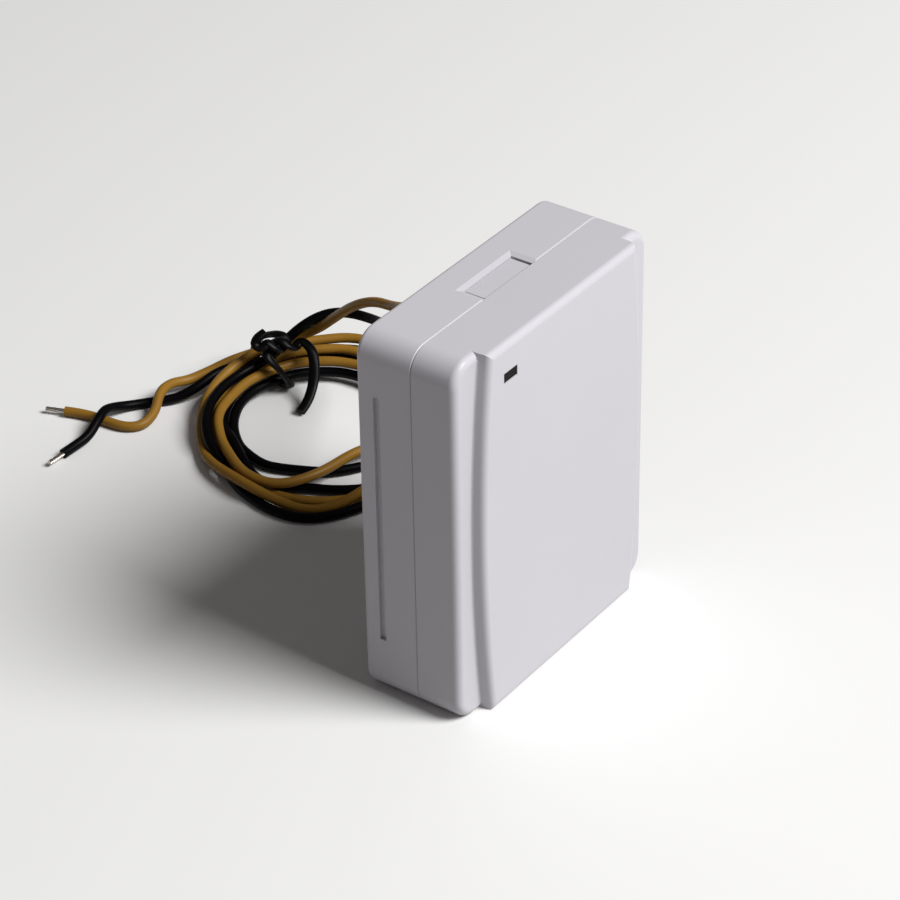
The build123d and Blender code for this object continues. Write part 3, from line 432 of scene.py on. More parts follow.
class Palette:
    """Every finish of the sensor. A finish of one of the record's material slots has the slot's name."""

    HOUSING = Finish("shell_white_plastic", tone(208, 206, 212), tone(201, 199, 206), Sheen.SATIN,
                     wander=0.06, fine=7000, broad=60, bump=0.004 * MM, mirror=0.4)
    WINDOW = Finish("smoked_window", tone(26, 22, 23), tone(18, 15, 16), Sheen.SOFT, wander=0.05, mirror=0.08)
    CLEAR_PLASTIC = Finish("clear_light_pipe", tone(226, 230, 228), tone(216, 220, 220), Sheen.GLOSS,
                           clear=0.75)
    BOARD = Finish("green_solder_mask", tone(24, 96, 52), tone(16, 74, 40), Sheen.SATIN, broad=240, coat=0.2,
                   marks=Marks.COPPER_RUNS, mark=tone(58, 134, 78))
    PLATED_STEEL = Finish("bright_plated_steel", tone(205, 204, 200), tone(180, 178, 175), Sheen.GLOSS,
                          metallic=1, fine=5000, broad=400, streaks=True)
    # Painted shade: the shield's holes take the dark mark colour for the can's shaded inside.
    SHIELD = replace(PLATED_STEEL, name="pierced_shield", main=tone(206, 206, 204),
                     second=tone(184, 184, 182), marks=Marks.HOLES, mark=tone(34, 34, 34))
    BLACK_PLASTIC = Finish("black_moulding", tone(30, 30, 31), tone(20, 20, 21), Sheen.SOFT, broad=300)
    WHITE_PLASTIC = Finish("white_moulding", tone(226, 225, 220), tone(214, 212, 206), Sheen.SATIN, broad=300)
    RED_PLASTIC = Finish("red_button", tone(178, 40, 32), tone(150, 28, 24), Sheen.SATIN, broad=300)
    GREEN_PLASTIC = Finish("green_terminal", tone(40, 138, 78), tone(30, 116, 64), Sheen.SATIN, broad=300)
    LED = Finish("indicator_lens", tone(240, 236, 214), tone(226, 220, 190), Sheen.GLOSS, broad=700,
                 trim=Trim(tone(226, 226, 224), 0.0, (1.0, 0.0, 0.0), low=-15.4 * MM, high=-13.7 * MM))
    ALUMINIUM_CAN = Finish("aluminium_can", tone(212, 213, 216), tone(190, 191, 195), Sheen.GLOSS,
                           metallic=1, broad=500)
    GOLD_PINS = Finish("gold_flashed_pins", tone(222, 182, 96), tone(200, 158, 74), Sheen.GLOSS,
                       metallic=1, broad=600)
    TINNED_COPPER = Finish("tinned_strands", tone(214, 208, 200), tone(176, 160, 142), Sheen.GLOSS,
                           metallic=1, fine=6000, broad=900)
    SOLDER = Finish("bright_solder", tone(206, 208, 212), tone(176, 178, 182), Sheen.GLOSS,
                    metallic=1, broad=1500)
    RESISTOR = Finish("resistor_black", tone(34, 33, 34), tone(22, 22, 23), Sheen.SOFT, broad=900)
    CERAMIC = Finish("capacitor_tan", tone(176, 142, 104), tone(156, 122, 86), Sheen.SATIN, broad=900)
    BATTERY_WRAP = Finish("cell_wrap", tone(84, 98, 124), tone(70, 82, 106), Sheen.SATIN, broad=200,
                          mirror=0.3)
    GROMMET_RUBBER = Finish("pale_rubber", tone(196, 196, 200), tone(180, 180, 186), Sheen.MATTE, broad=400)
    YELLOW_INSULATION = Finish("ochre_wire_jacket", tone(160, 118, 44), tone(128, 90, 26), Sheen.SATIN,
                               drift=0.7, wander=0.1, fine=5000, broad=160, bump=0.012 * MM, mirror=0.2)
    BLACK_INSULATION = replace(YELLOW_INSULATION, name="black_wire_jacket", main=tone(5, 5, 8),
                               second=tone(3, 3, 4), drift=0.6, mirror=0.08)
    TIE = Finish("black_tie", tone(7, 7, 8), tone(4, 4, 5), Sheen.SATIN, fine=4000, broad=500,
                 bump=0.02 * MM, mirror=0.14)


@dataclass
class Studio:
    """The camera, the lamp, the soft surroundings and the floor.

    Attributes:
        place: Where the camera stands, in metres.
        turn: The camera's rotation, in degrees.
        lens: Its focal length in millimetres.
        sensor: Width of its sensor in millimetres.
        shift: Its shift in x and y.
        lamp_way: Direction from the object to the lamp.
        lamp_far: The lamp's distance in metres.
        lamp_size: The lamp's width in metres.
        lamp_power: The lamp's power in watts.
        surround: Strength of the soft surroundings.
        surround_tint: Colour of the soft surroundings.
        backdrop: Colour of the background behind the floor.
        paper: Colour of the floor to the camera.
        bounce: Colour of the floor to the light that it throws back.
        paper_rough: Roughness of the floor.
        paper_mirror: Its specular level.
        floor_half: Half the floor's width in metres.
    """

    place: Point = (-0.37629, -0.26302, 0.34017)
    turn: Point = (55.603, 0.778, -54.51)
    lens: float = 140.04
    sensor: float = 36.0
    shift: tuple[float, float] = (-0.0082, 0.0527)
    lamp_way: Point = (0.23, -0.88, 1.0)
    lamp_far: float = 1.6
    lamp_size: float = 0.8
    lamp_power: float = 30.2
    surround: float = 0.1
    surround_tint: Colour = (1.0, 0.96, 0.94)
    backdrop: Colour = tone(232, 232, 232)
    paper: Colour = tone(247, 247, 246)
    bounce: Colour = tone(180, 178, 178)
    paper_rough: float = 0.8
    paper_mirror: float = 0.2
    floor_half: float = 3.0

    def camera(self) -> None:
        """Sets the camera where the photograph was taken from."""
        data = bpy.data.cameras.new("camera")
        data.sensor_width, data.lens = self.sensor, self.lens
        data.shift_x, data.shift_y = self.shift
        camera = bpy.context.scene.camera = show("camera", data)
        camera.location = self.place
        camera.rotation_euler = [math.radians(angle) for angle in self.turn]

    def lamp(self) -> None:
        """Hangs one soft lamp over the front of the sensor."""
        data = bpy.data.lights.new("soft_lamp", "AREA")
        data.shape, data.size, data.energy = "DISK", self.lamp_size, self.lamp_power
        lamp = show("soft_lamp", data)
        way = Vector(self.lamp_way).normalized()
        lamp.location = way * self.lamp_far
        lamp.rotation_euler = way.to_track_quat("Z", "Y").to_euler()

    def surroundings(self) -> None:
        """Lights from all round with a soft even glow, and shows a pale background to the camera."""
        world = bpy.context.scene.world = bpy.data.worlds.new("studio")
        world.use_nodes = True
        desk, nodes = NodeDesk(world.node_tree), world.node_tree.nodes
        desk.feed(nodes["Background"], {"Color": (*self.surround_tint, 1), "Strength": self.surround})
        seen = desk.out("ShaderNodeBackground", "Background", {"Color": (*self.backdrop, 1), "Strength": 1.0})
        path = desk.add("ShaderNodeLightPath").outputs
        direct = desk.math("ADD", path["Is Camera Ray"], path["Is Transmission Ray"])
        desk.feed(nodes["World Output"], {"Surface": desk.out(
            "ShaderNodeMixShader", "Shader", {0: direct, 1: nodes["Background"].outputs[0], 2: seen})})

    def floor(self) -> None:
        """Lays a plain pale floor, paler to the camera than to the light that it throws back."""
        mesh = bpy.data.meshes.new("floor")
        half = self.floor_half
        mesh.from_pydata([(-half, -half, 0), (half, -half, 0), (half, half, 0), (-half, half, 0)], [],
                         [(0, 1, 2, 3)])
        paper = bpy.data.materials.new("floor_paper")
        paper.use_nodes = True
        desk = NodeDesk(paper.node_tree)
        path = desk.add("ShaderNodeLightPath").outputs
        shown = desk.math("ADD", path["Is Camera Ray"], path["Is Glossy Ray"])
        desk.feed(paper.node_tree.nodes["Principled BSDF"], {
            "Roughness": self.paper_rough, "Specular IOR Level": self.paper_mirror,
            "Base Color": desk.mix(shown, (*self.bounce, 1), (*self.paper, 1))})
        mesh.materials.append(paper)
        show("floor", mesh)

    def build(self) -> None:
        """Sets up the whole studio."""
        bpy.context.scene.view_settings.view_transform = "Standard"
        self.camera()
        self.lamp()
        self.surroundings()
        self.floor()


def new_curve(name: str, points: list[Vector], radius: float, finish: Finish) -> Object:
    """A round cord on a smooth spline.

    Args:
        name: The object's name.
        points: The spline's control points in metres.
        radius: The cord's radius in metres.
        finish: Its finish.

    Returns:
        The curve object, linked to the scene.
    """
    data = bpy.data.curves.new(name, "CURVE")
    data.dimensions = "3D"
    spline = data.splines.new("NURBS")
    spline.points.add(len(points) - 1)
    for knot, point in zip(spline.points, points):
        knot.co = (*point, 1)
    spline.order_u, spline.use_endpoint_u, spline.resolution_u = CORD_ORDER, True, CORD_STEPS
    data.bevel_depth, data.bevel_resolution, data.use_fill_caps = radius, CORD_ROUNDNESS, True
    data.materials.append(finish.material())
    return show(name, data)


class PartTree(Group):
    """A Geometry Nodes tree with named sizes, run on an object and kept as a plain mesh."""

    def __init__(self, name: str, sizes: Sizes) -> None:
        """Opens the tree.

        Args:
            name: The tree's name.
            sizes: Its named inputs with the values that they start with. An int is a count.
        """
        shape = {"Geometry": "NodeSocketGeometry"}
        super().__init__(name, "GeometryNodeTree", shape | sizes | {"Finish": "NodeSocketMaterial"}, shape)

    def moved(self, shape: Socket, **moves: Socket) -> Socket:
        """A shape with a Translation, Rotation or Scale."""
        return self.out("GeometryNodeTransform", "Geometry", {"Geometry": shape} | moves)

    def joined(self, shapes: list[Socket]) -> Socket:
        """Several shapes as one."""
        both = self.add("GeometryNodeJoinGeometry")
        for shape in shapes:
            self.feed(both, {"Geometry": shape})
        return both.outputs["Geometry"]

    def laid(self, points: Socket, shape: Socket, **turns: Socket) -> Socket:
        """A shape on each of some points, with its Rotation if it turns."""
        return self.out("GeometryNodeInstanceOnPoints", "Instances",
                        {"Points": points, "Instance": shape} | turns)

    def swept(self, path: Socket, profile: Socket) -> Socket:
        """A closed mesh of a profile along a path."""
        return self.out("GeometryNodeCurveToMesh", "Mesh",
                        {"Curve": path, "Profile Curve": profile, "Fill Caps": True})

    def block(self, sides: tuple[Socket, Socket, Socket], lift: object, top: float) -> Socket:
        """A block that stands forward of the board and narrows at its front.

        Args:
            sides: Width across, height up and thickness.
            lift: Height of the narrowing part, a number or a socket.
            top: Share of the front that is left.

        Returns:
            The mesh, with its foot at y 0.
        """
        cube = self.out("GeometryNodeMeshCube", "Mesh", {"Size": self.vector(**dict(zip("XZY", sides)))})
        normal = self.out("GeometryNodeInputNormal", "Normal")
        front = self.math("LESS_THAN", self.out("ShaderNodeSeparateXYZ", "Y", {0: normal}), -0.5)
        grow = self.add("GeometryNodeExtrudeMesh",
                        {"Mesh": cube, "Selection": front, "Offset Scale": lift}).outputs
        narrow = self.out("GeometryNodeScaleElements", "Geometry",
                          {"Geometry": grow["Mesh"], "Selection": grow["Top"], "Scale": top})
        return self.moved(narrow, Translation=self.vector(Y=self.math("MULTIPLY", sides[2], -0.5)))

    def finish(self, shape: Socket, smooth: bool = True) -> "PartTree":
        """Ends the tree with real geometry, its shading and its finish.

        Args:
            shape: The geometry that has been made.
            smooth: True for smooth shading.

        Returns:
            The tree.
        """
        real = self.out("GeometryNodeRealizeInstances", "Geometry", {"Geometry": shape})
        shaded = self.out("GeometryNodeSetShadeSmooth", "Geometry",
                          {"Geometry": real, "Shade Smooth": smooth})
        self.close(Geometry=self.out("GeometryNodeSetMaterial", "Geometry",
                                     {"Geometry": shaded, "Material": self.get("Finish")}))
        return self

    def finish_on_spots(self, shape: Socket) -> "PartTree":
        """Ends the tree with its shape on each point of the carrier, turned as the point says."""
        turn = self.out("GeometryNodeInputNamedAttribute", "Attribute", {"Name": "turn"}, data_type="FLOAT")
        return self.finish(self.laid(self.get("Geometry"), shape, Rotation=self.vector(Y=turn)), smooth=False)

    def run(self, name: str, finish: Finish, sizes: Sizes, place: Matrix | None = None,
            carrier: Object | None = None) -> Object:
        """Runs the tree and keeps the result as a plain mesh object at the origin.

        Args:
            name: The new object's name.
            finish: Its finish.
            sizes: Values for the named inputs.
            place: Where the mesh goes, or None to leave it.
            carrier: The object that the tree runs on, or None for an empty mesh. It is removed afterwards.

        Returns:
            The new object, linked to the scene.
        """
        carrier = carrier or show("carrier", bpy.data.meshes.new("carrier"))
        modifier = carrier.modifiers.new("tree", "NODES")
        modifier.node_group = self.tree
        values = sizes | {"Finish": finish.material()}
        for item in self.tree.interface.items_tree:
            if item.in_out == "INPUT" and item.name in values:
                modifier[item.identifier] = values[item.name]
        graph = bpy.context.evaluated_depsgraph_get()
        mesh = bpy.data.meshes.new_from_object(carrier.evaluated_get(graph))
        mesh.name = name
        carrier.modifiers.remove(modifier)
        bpy.data.objects.remove(carrier)
        if place is not None:
            mesh.transform(place)
        return show(name, mesh)


def strip_tree() -> PartTree:
    """A tree for a flat strip that follows a curve without a bevel."""
    made = PartTree("strip_on_path", {"Width": 1.8 * MM, "Thickness": 1.2 * MM, "Sides": 12})
    width, thickness, sides = made.sizes("Width", "Thickness", "Sides")
    steady = made.out("GeometryNodeSetCurveNormal", "Curve", {"Curve": made.get("Geometry")}, mode="Z_UP")
    ring = made.out("GeometryNodeCurvePrimitiveCircle", "Curve", {"Resolution": sides, "Radius": 0.5})
    flat = made.moved(ring, Scale=made.vector(X=width, Y=thickness, Z=1.0))
    return made.finish(made.swept(steady, flat))


def strand_tree() -> PartTree:
    """A tree for a bunch of fine strands laid round each other along +Z, on no carrier."""
    made = PartTree("laid_strands", {"Length": 3.6 * MM, "Lay": 0.3 * MM, "Strand": 0.14 * MM, "Turns": 0.7,
                                     "Count": 6, "Steps": 28, "Sides": 10})
    length, lay, count = made.sizes("Length", "Lay", "Count")
    helix = made.out("GeometryNodeCurveSpiral", "Curve", {
        "Resolution": made.get("Steps"), "Rotations": made.get("Turns"), "Start Radius": lay,
        "End Radius": lay, "Height": length})
    spots = made.out("GeometryNodePoints", "Points", {"Count": count})
    index = made.out("GeometryNodeInputIndex", "Index")
    turn = made.math("DIVIDE", made.math("MULTIPLY", index, 2 * math.pi), count)
    core = made.out("GeometryNodeCurvePrimitiveLine", "Curve",
                    {"Start": (0, 0, 0), "End": made.vector(Z=length)})
    strands = made.joined([made.laid(spots, helix, Rotation=made.vector(Z=turn)), core])
    real = made.out("GeometryNodeRealizeInstances", "Geometry", {"Geometry": strands})
    ring = made.out("GeometryNodeCurvePrimitiveCircle", "Curve",
                    {"Resolution": made.get("Sides"), "Radius": made.get("Strand")})
    return made.finish(made.swept(real, ring))


def chip_tree() -> PartTree:
    """A tree for the body of a small surface-mounted part on each point."""
    made = PartTree("chip_bodies", {"Length": 1.5 * MM, "Width": 1.2 * MM, "Thickness": 0.42 * MM,
                                    "Lift": 0.06 * MM})
    sides = made.sizes("Length", "Width", "Thickness")
    return made.finish_on_spots(made.block(sides, lift=made.get("Lift"), top=0.88))


def chip_end_tree() -> PartTree:
    """A tree for the two metal ends of a small surface-mounted part and their pads, on each point."""
    made = PartTree("chip_ends", {"Span": 1.8 * MM, "End": 0.35 * MM, "Width": 1.26 * MM,
                                  "Thickness": 0.5 * MM, "Pad": 0.9 * MM, "Film": 0.04 * MM})
    shapes = []
    for side in (-0.5, 0.5):
        cap = made.block(made.sizes("End", "Width", "Thickness"), lift=0.03 * MM, top=0.9)
        pad = made.block(made.sizes("Pad", "Width", "Film"), lift=0.12 * MM, top=0.6)
        for shape, reach in ((cap, 1.0), (pad, PAD_REACH)):
            shift = made.math("MULTIPLY", made.get("Span"), side * reach)
            shapes.append(made.moved(shape, Translation=made.vector(X=shift)))
    return made.finish_on_spots(made.joined(shapes))


def solder_tree() -> PartTree:
    """A tree for a solder cone on each point, that stands forward of the board or behind it."""
    made = PartTree("solder_cones", {"Foot": 0.9 * MM, "Tip": 0.36 * MM, "Height": 0.6 * MM,
                                     "Way": math.pi / 2})
    foot, tip, height = made.sizes("Foot", "Tip", "Height")
    cone = made.out("GeometryNodeMeshCone", "Mesh", {
        "Vertices": 20, "Side Segments": 3, "Radius Top": tip, "Radius Bottom": foot, "Depth": height})
    return made.finish_on_spots(made.moved(cone, Rotation=made.vector(X=made.get("Way"))))


def edge_pad_tree() -> PartTree:
    """A tree for rows of edge pads along both sides of a module board, on no carrier."""
    made = PartTree("edge_pads", {"Across": 14 * MM, "Pitch": 1.27 * MM, "Count": 13, "Length": 1.1 * MM,
                                  "Width": 0.7 * MM, "Thickness": 1.0 * MM})
    across, pitch, count = made.sizes("Across", "Pitch", "Count")
    pad = made.block(made.sizes("Length", "Width", "Thickness"), lift=0.05 * MM, top=0.8)
    half = made.math("MULTIPLY", made.math("SUBTRACT", count, 1.0), -0.5)
    rows = []
    for side in (-0.5, 0.5):
        start = made.vector(X=made.math("MULTIPLY", across, side), Z=made.math("MULTIPLY", half, pitch))
        row = made.out("GeometryNodeMeshLine", "Mesh", {
            "Count": count, "Start Location": start, "Offset": made.vector(Z=pitch)}, mode="OFFSET")
        rows.append(made.laid(row, pad))
    return made.finish(made.joined(rows), smooth=False)


def level(angle: float) -> Vector:
    """A level unit vector at an angle in degrees from +X."""
    return Vector((math.cos(math.radians(angle)), math.sin(math.radians(angle)), 0))


def metres(points: tuple[Point, ...]) -> list[Vector]:
    """Points in millimetres as vectors in metres."""
    return [Vector([part * MM for part in point]) for point in points]


def carried(piece: Object, slot: str, *nodes: str) -> Object:
    """Lets a piece ride on the housing, in place of some solids if it replaces any.

    Args:
        piece: The piece.
        slot: The record's material slot; not used.
        *nodes: The solids that it replaces.

    Returns:
        The piece.
    """
    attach(piece, "housing")
    if nodes:
        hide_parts(*nodes)
    LOG.info("%s placed", piece.name)
    return piece


@dataclass(frozen=True)
class WireRun:
    """One wire of the pair, with its control points in millimetres.

    Attributes:
        colour: The wire's colour, as its names begin with.
        finish: Its finish.
        length: Its real length from the grommet to its bare end, in metres; not used.
        inside: Points from its terminal to the grommet.
        lead: Points from the grommet down to the coil.
        turns: Distance from the coil's middle and height at each station, turn by turn.
        tail: Points from the coil to the end of the insulation.
    """

    colour: str
    finish: Finish
    length: float
    inside: tuple[Point, ...]
    lead: tuple[Point, ...]
    turns: tuple[tuple[tuple[float, float], ...], ...]
    tail: tuple[Point, ...]


YELLOW_RUN = WireRun(
    "yellow", Palette.YELLOW_INSULATION, 0.520,
    inside=((1.6, -0.5, 51.2), (6.6, -0.5, 51.2), (11.2, 1, 50.2), (13.6, 5.6, 49), (13.6, 10.2, 49)),
    lead=((13.6, 10.2, 49), (13.6, 17.8, 49), (17, 25.8, 45.8), (23.1, 33.4, 39.2), (30, 41.4, 31.8),
          (35.6, 49.2, 26.4), (38, 55.4, 24.4), (39.1, 60.8, 21.1), (40.8, 66.3, 16), (42.6, 71.6, 10.8),
          (40.8, 76, 8.2), (36.6, 79.6, 7.2)),
    turns=(
        ((20.2, 5.5), (21.2, 4.3), (21.8, 2.4), (22.9, 1.2), (24, 2.4), (24.8, 3.1), (25.8, 3.1), (26.1, 1.8),
         (27.4, 1), (27.2, 1.2), (25.2, 3.4), (22.8, 3.1), (20.6, 3), (18.9, 3.1), (17.6, 3.2), (16.8, 3.7),
         (15.8, 3.8), (15.4, 3.9), (15.4, 4.1), (15.6, 4.3)),
        ((16.1, 4.4), (16.9, 4.1), (18.8, 3.9), (19.6, 3.4), (20.6, 3.3), (22.7, 3.2), (23.7, 3.2), (23.4, 3),
         (20.6, 3), (17.4, 3), (14.3, 3), (13.4, 2.8), (14.4, 1.8), (15.9, 1.3), (16.6, 1.1), (18.3, 1.8),
         (18.5, 3.3), (18.4, 5), (17.9, 5), (17.9, 5.1)),
        ((20.2, 3.2), (19.8, 2.5), (20.1, 1.7), (20.2, 1.1), (19.9, 0.95), (22.2, 0.95), (23.3, 1), (24, 1),
         (24.7, 1.1), (24.8, 0.95), (24.6, 0.95), (24.4, 0.95), (23.8, 0.95), (23.2, 0.95), (22.9, 1),
         (23.2, 3), (22.4, 4.4), (22, 5.4), (20.6, 5.3), (20.6, 5.1))),
    tail=((37.2, 82.2, 4.8), (33, 84.6, 4.4), (29.2, 86.8, 3.2), (25.8, 88.8, 2.4), (22.4, 90, 3.2),
          (18.8, 89.6, 3.4), (15.2, 87.8, 1.6), (11.4, 87.5, 0.95), (9.2, 89.8, 0.95), (8.8, 94, 0.95),
          (8.6, 98.4, 0.95), (7.2, 102, 0.95)))
BLACK_RUN = WireRun(
    "black", Palette.BLACK_INSULATION, 0.513,
    inside=((1.6, -0.5, 46.2), (5.8, -0.5, 46.2), (9.9, 1.5, 47.3), (11.4, 5.6, 49), (11.4, 10.2, 49)),
    lead=((11.4, 10.2, 49), (11.4, 18.2, 49), (15.6, 26.8, 43.8), (22.4, 35.6, 35.8), (30.8, 44.8, 26.8),
          (38.4, 52.8, 20), (42, 59.5, 17.4), (43, 65.1, 16.2), (43, 69.9, 14.4), (41.8, 73.3, 12.1),
          (39.2, 75.6, 9.6), (35.4, 77.4, 6.2)),
    turns=(
        ((18, 5), (19.2, 5), (20.8, 4.4), (22, 3.4), (21.8, 1.6), (24.2, 0.95), (26, 0.95), (28.2, 0.95),
         (30, 1), (29.2, 1), (27.2, 1.4), (24.9, 3.1), (22.6, 3.8), (19, 5.4), (16.4, 5), (14.4, 2.9),
         (14.2, 2), (14.9, 2), (14.9, 2.1), (15.1, 2.3)),
        ((15.5, 2.3), (16, 2), (16.2, 1.4), (16.4, 0.95), (16.4, 0.95), (16.7, 0.95), (16.1, 0.95),
         (15.6, 0.95), (15.5, 0.95), (15.8, 0.95), (15.6, 0.95), (15.9, 1), (16.8, 0.95), (17.8, 0.95),
         (18.6, 1), (20.2, 1.1), (19.6, 1.4), (18.5, 2.9), (18.1, 2.9), (17.9, 3)),
        ((17.8, 2.8), (17.9, 2.2), (18.1, 1.7), (17.5, 2.8), (18.1, 1.7), (20.1, 1), (21.2, 0.95), (21.3, 1),
         (20.5, 0.95), (21.3, 0.95), (22.4, 0.95), (22.4, 0.95), (21.8, 0.95), (21.2, 0.95), (21, 1),
         (22.2, 1.2), (21.8, 2.2), (21.7, 3.1), (20.5, 3), (20.4, 3))),
    tail=((36.4, 81.2, 2.9), (32, 83.6, 3.8), (28.4, 84.6, 4), (24.6, 85.8, 2.6), (21.4, 88, 1.1),
          (18.4, 91, 0.95), (15.2, 93.6, 0.95), (12, 94.5, 2), (9.2, 94.3, 3), (6.4, 93.5, 2.8),
          (3, 92.8, 1.4), (-0.2, 93.2, 0.95), (-3.4, 93.3, 0.95)))


@dataclass
class CoiledLead:
    """The two wires from the grommet to their bare tips, coiled three times and tied.

    Attributes:
        radius: Radius of a wire over its insulation.
        centre: Middle of the coil on the floor.
        stations: Where each turn has its control points, in degrees from +X.
        fullness: How much further out a control point lies than the curve that it shapes.
        bare: Length of the bare tips.
        strands: Radius that the strands are laid at and a strand's radius.
        strand_turns: Turns of the strands in the bare tip.
        tie_at: Where on the coil the tie is, in degrees from +X.
        tie_away: How far the knot's own zero is from the coil's middle.
        tie_width: Width of the tie's strip.
        tie_thickness: Its thickness.
        knot: The two ends of its twisted knot, in millimetres: ahead along the coil, outward, and height.
        knot_radius: How far the strip lies from the knot's axis, in millimetres.
        knot_turns: Turns of the strip in the knot, each way.
        knot_joined: Share of the knot after which the strip joins it the second time.
        tie_free: Control points of its free end, in the knot's millimetres.
        tie_ring: Control points of its way round the bundle.
        tie_curl: Control points of its curled end.
    """

    radius: float = 0.9 * MM
    centre: Point = (0.0305, 0.0615, 0.0)
    stations: tuple[float, ...] = (
        90, 110, 130, 150, 164, 178, 188, 198, 209, 220, 235, 250, 270, 290, 310, 330, 350, 380, 400, 422)
    fullness: float = 1.013
    bare: float = 3.6 * MM
    strands: tuple[float, float] = (0.29 * MM, 0.155 * MM)
    strand_turns: float = 0.55
    tie_at: float = 74.0
    tie_away: float = 15.0 * MM
    tie_width: float = 1.95 * MM
    tie_thickness: float = 1.15 * MM
    knot: tuple[Point, Point] = ((-5.0, -2.0, 9.4), (1.2, 0.2, 9.9))
    knot_radius: float = 0.8
    knot_turns: float = 1.25
    knot_joined: float = 0.4
    tie_free: tuple[Point, ...] = (
        (1.4, -9.5, 0.9), (-0.6, -8.7, 1.4), (-2.6, -7.6, 2.8), (-4.2, -6.4, 4.6), (-5.2, -5.2, 6.6),
        (-5.9, -3.6, 8.4))
    tie_ring: tuple[Point, ...] = (
        (2, -0.8, 8.6), (0.9, -2.1, 6.6), (-0.6, -2.4, 4), (-1.8, -2.3, 1.6), (-2.2, -0.6, 0.65),
        (-2.3, 3.2, 0.65), (-2.2, 7, 0.7), (-2, 8.9, 2), (-1.9, 8.7, 4.6), (-2, 7.3, 6.9),
        (-2, 5.6, 8.4), (-2.2, 3.9, 9.4), (-2.5, 2.3, 10.1), (-2.9, 0.8, 10.3))
    tie_curl: tuple[Point, ...] = (
        (2.2, 0, 10.1), (2.9, 0.7, 10), (2.9, 1.4, 10.8), (1.9, 1.7, 11.7), (0.6, 1.5, 12.1))

    def route(self, run: WireRun) -> list[Vector]:
        """All control points of a wire, from the grommet to the end of its insulation.

        Args:
            run: The wire.

        Returns:
            The points in metres.
        """
        coil = [Vector(self.centre) + level(angle) * away * self.fullness * MM + Vector((0, 0, height * MM))
                for turn in run.turns for angle, (away, height) in zip(self.stations, turn)]
        return metres(run.lead) + coil + metres(run.tail)

    def wire(self, run: WireRun) -> Object:
        """Makes one wire and the short length of it inside the box.

        Args:
            run: The wire.

        Returns:
            The free wire's object.
        """
        name = f"{run.colour}_wire"
        inside = new_curve(f"{name}_in_box", metres(run.inside), self.radius, run.finish)
        carried(inside, f"{run.colour}_insulation", f"{name}_inside")
        cord = new_curve(name, self.route(run), self.radius, run.finish)
        return carried(cord, f"{run.colour}_insulation", f"{name}_lead", f"{name}_coil", f"{name}_tail")

    def tip(self, run: WireRun, strands: PartTree) -> Object:
        """Makes the bare tinned end of a wire.

        Args:
            run: The wire.
            strands: The tree that lays the strands.

        Returns:
            The tip's object.
        """
        before, end = self.route(run)[-2:]
        turn = (end - before).normalized().to_track_quat("Z", "Y").to_matrix().to_4x4()
        lay, strand = self.strands
        sizes = {"Length": self.bare, "Lay": lay, "Strand": strand, "Turns": self.strand_turns}
        tip = strands.run(f"{run.colour}_bare_strands", Palette.TINNED_COPPER, sizes,
                          Matrix.Translation(end) @ turn)
        return carried(tip, "tinned_copper", f"{run.colour}_conductor")

    def twisted(self, start: float, since: float = 0.0) -> list[Vector]:
        """Control points of the strip's way through the knot.

        Args:
            start: Angle round the knot's axis at the knot's start, in degrees.
            since: Share of the knot after which the strip joins it.

        Returns:
            The points, in the knot's millimetres.
        """
        low, high = (Vector(end) for end in self.knot)
        way = (high - low).normalized()
        side = way.cross(Vector((0, 0, 1))).normalized()
        over = side.cross(way)
        steps = int(self.knot_turns * 360 / QUARTER_TURN)
        points = []
        for k in range(round(since * steps), steps + 1):
            angle = math.radians(start + QUARTER_TURN * k)
            outward = side * math.cos(angle) + over * math.sin(angle)
            points.append(low + (high - low) * (k / steps) + outward * self.knot_radius * math.sqrt(2))
        return points

    def tie(self) -> Object:
        """Makes the bendable tie: a long loose end, once round the bundle, and a curl on top.

        Returns:
            The tie's object.
        """
        ahead, outward = level(self.tie_at + 90), level(self.tie_at)
        seat = Vector(self.centre) + outward * self.tie_away
        way = [*self.tie_free, *self.twisted(180), *self.tie_ring, *self.twisted(0, self.knot_joined),
               *self.tie_curl]
        points = [seat + ahead * a * MM + outward * o * MM + Vector((0, 0, z * MM)) for a, o, z in way]
        sizes = {"Width": self.tie_width, "Thickness": self.tie_thickness, "Sides": 14}
        line = new_curve("tie_line", points, 0.0, Palette.TIE)
        tie = strip_tree().run("black_tie", Palette.TIE, sizes, carrier=line)
        return carried(tie, "black_plastic", "wire_tie")

    def build(self) -> None:
        tie, strands = self.tie(), strand_tree()
        for run, held in ((YELLOW_RUN, [tie]), (BLACK_RUN, [])):
            cord, tip = self.wire(run), self.tip(run, strands)


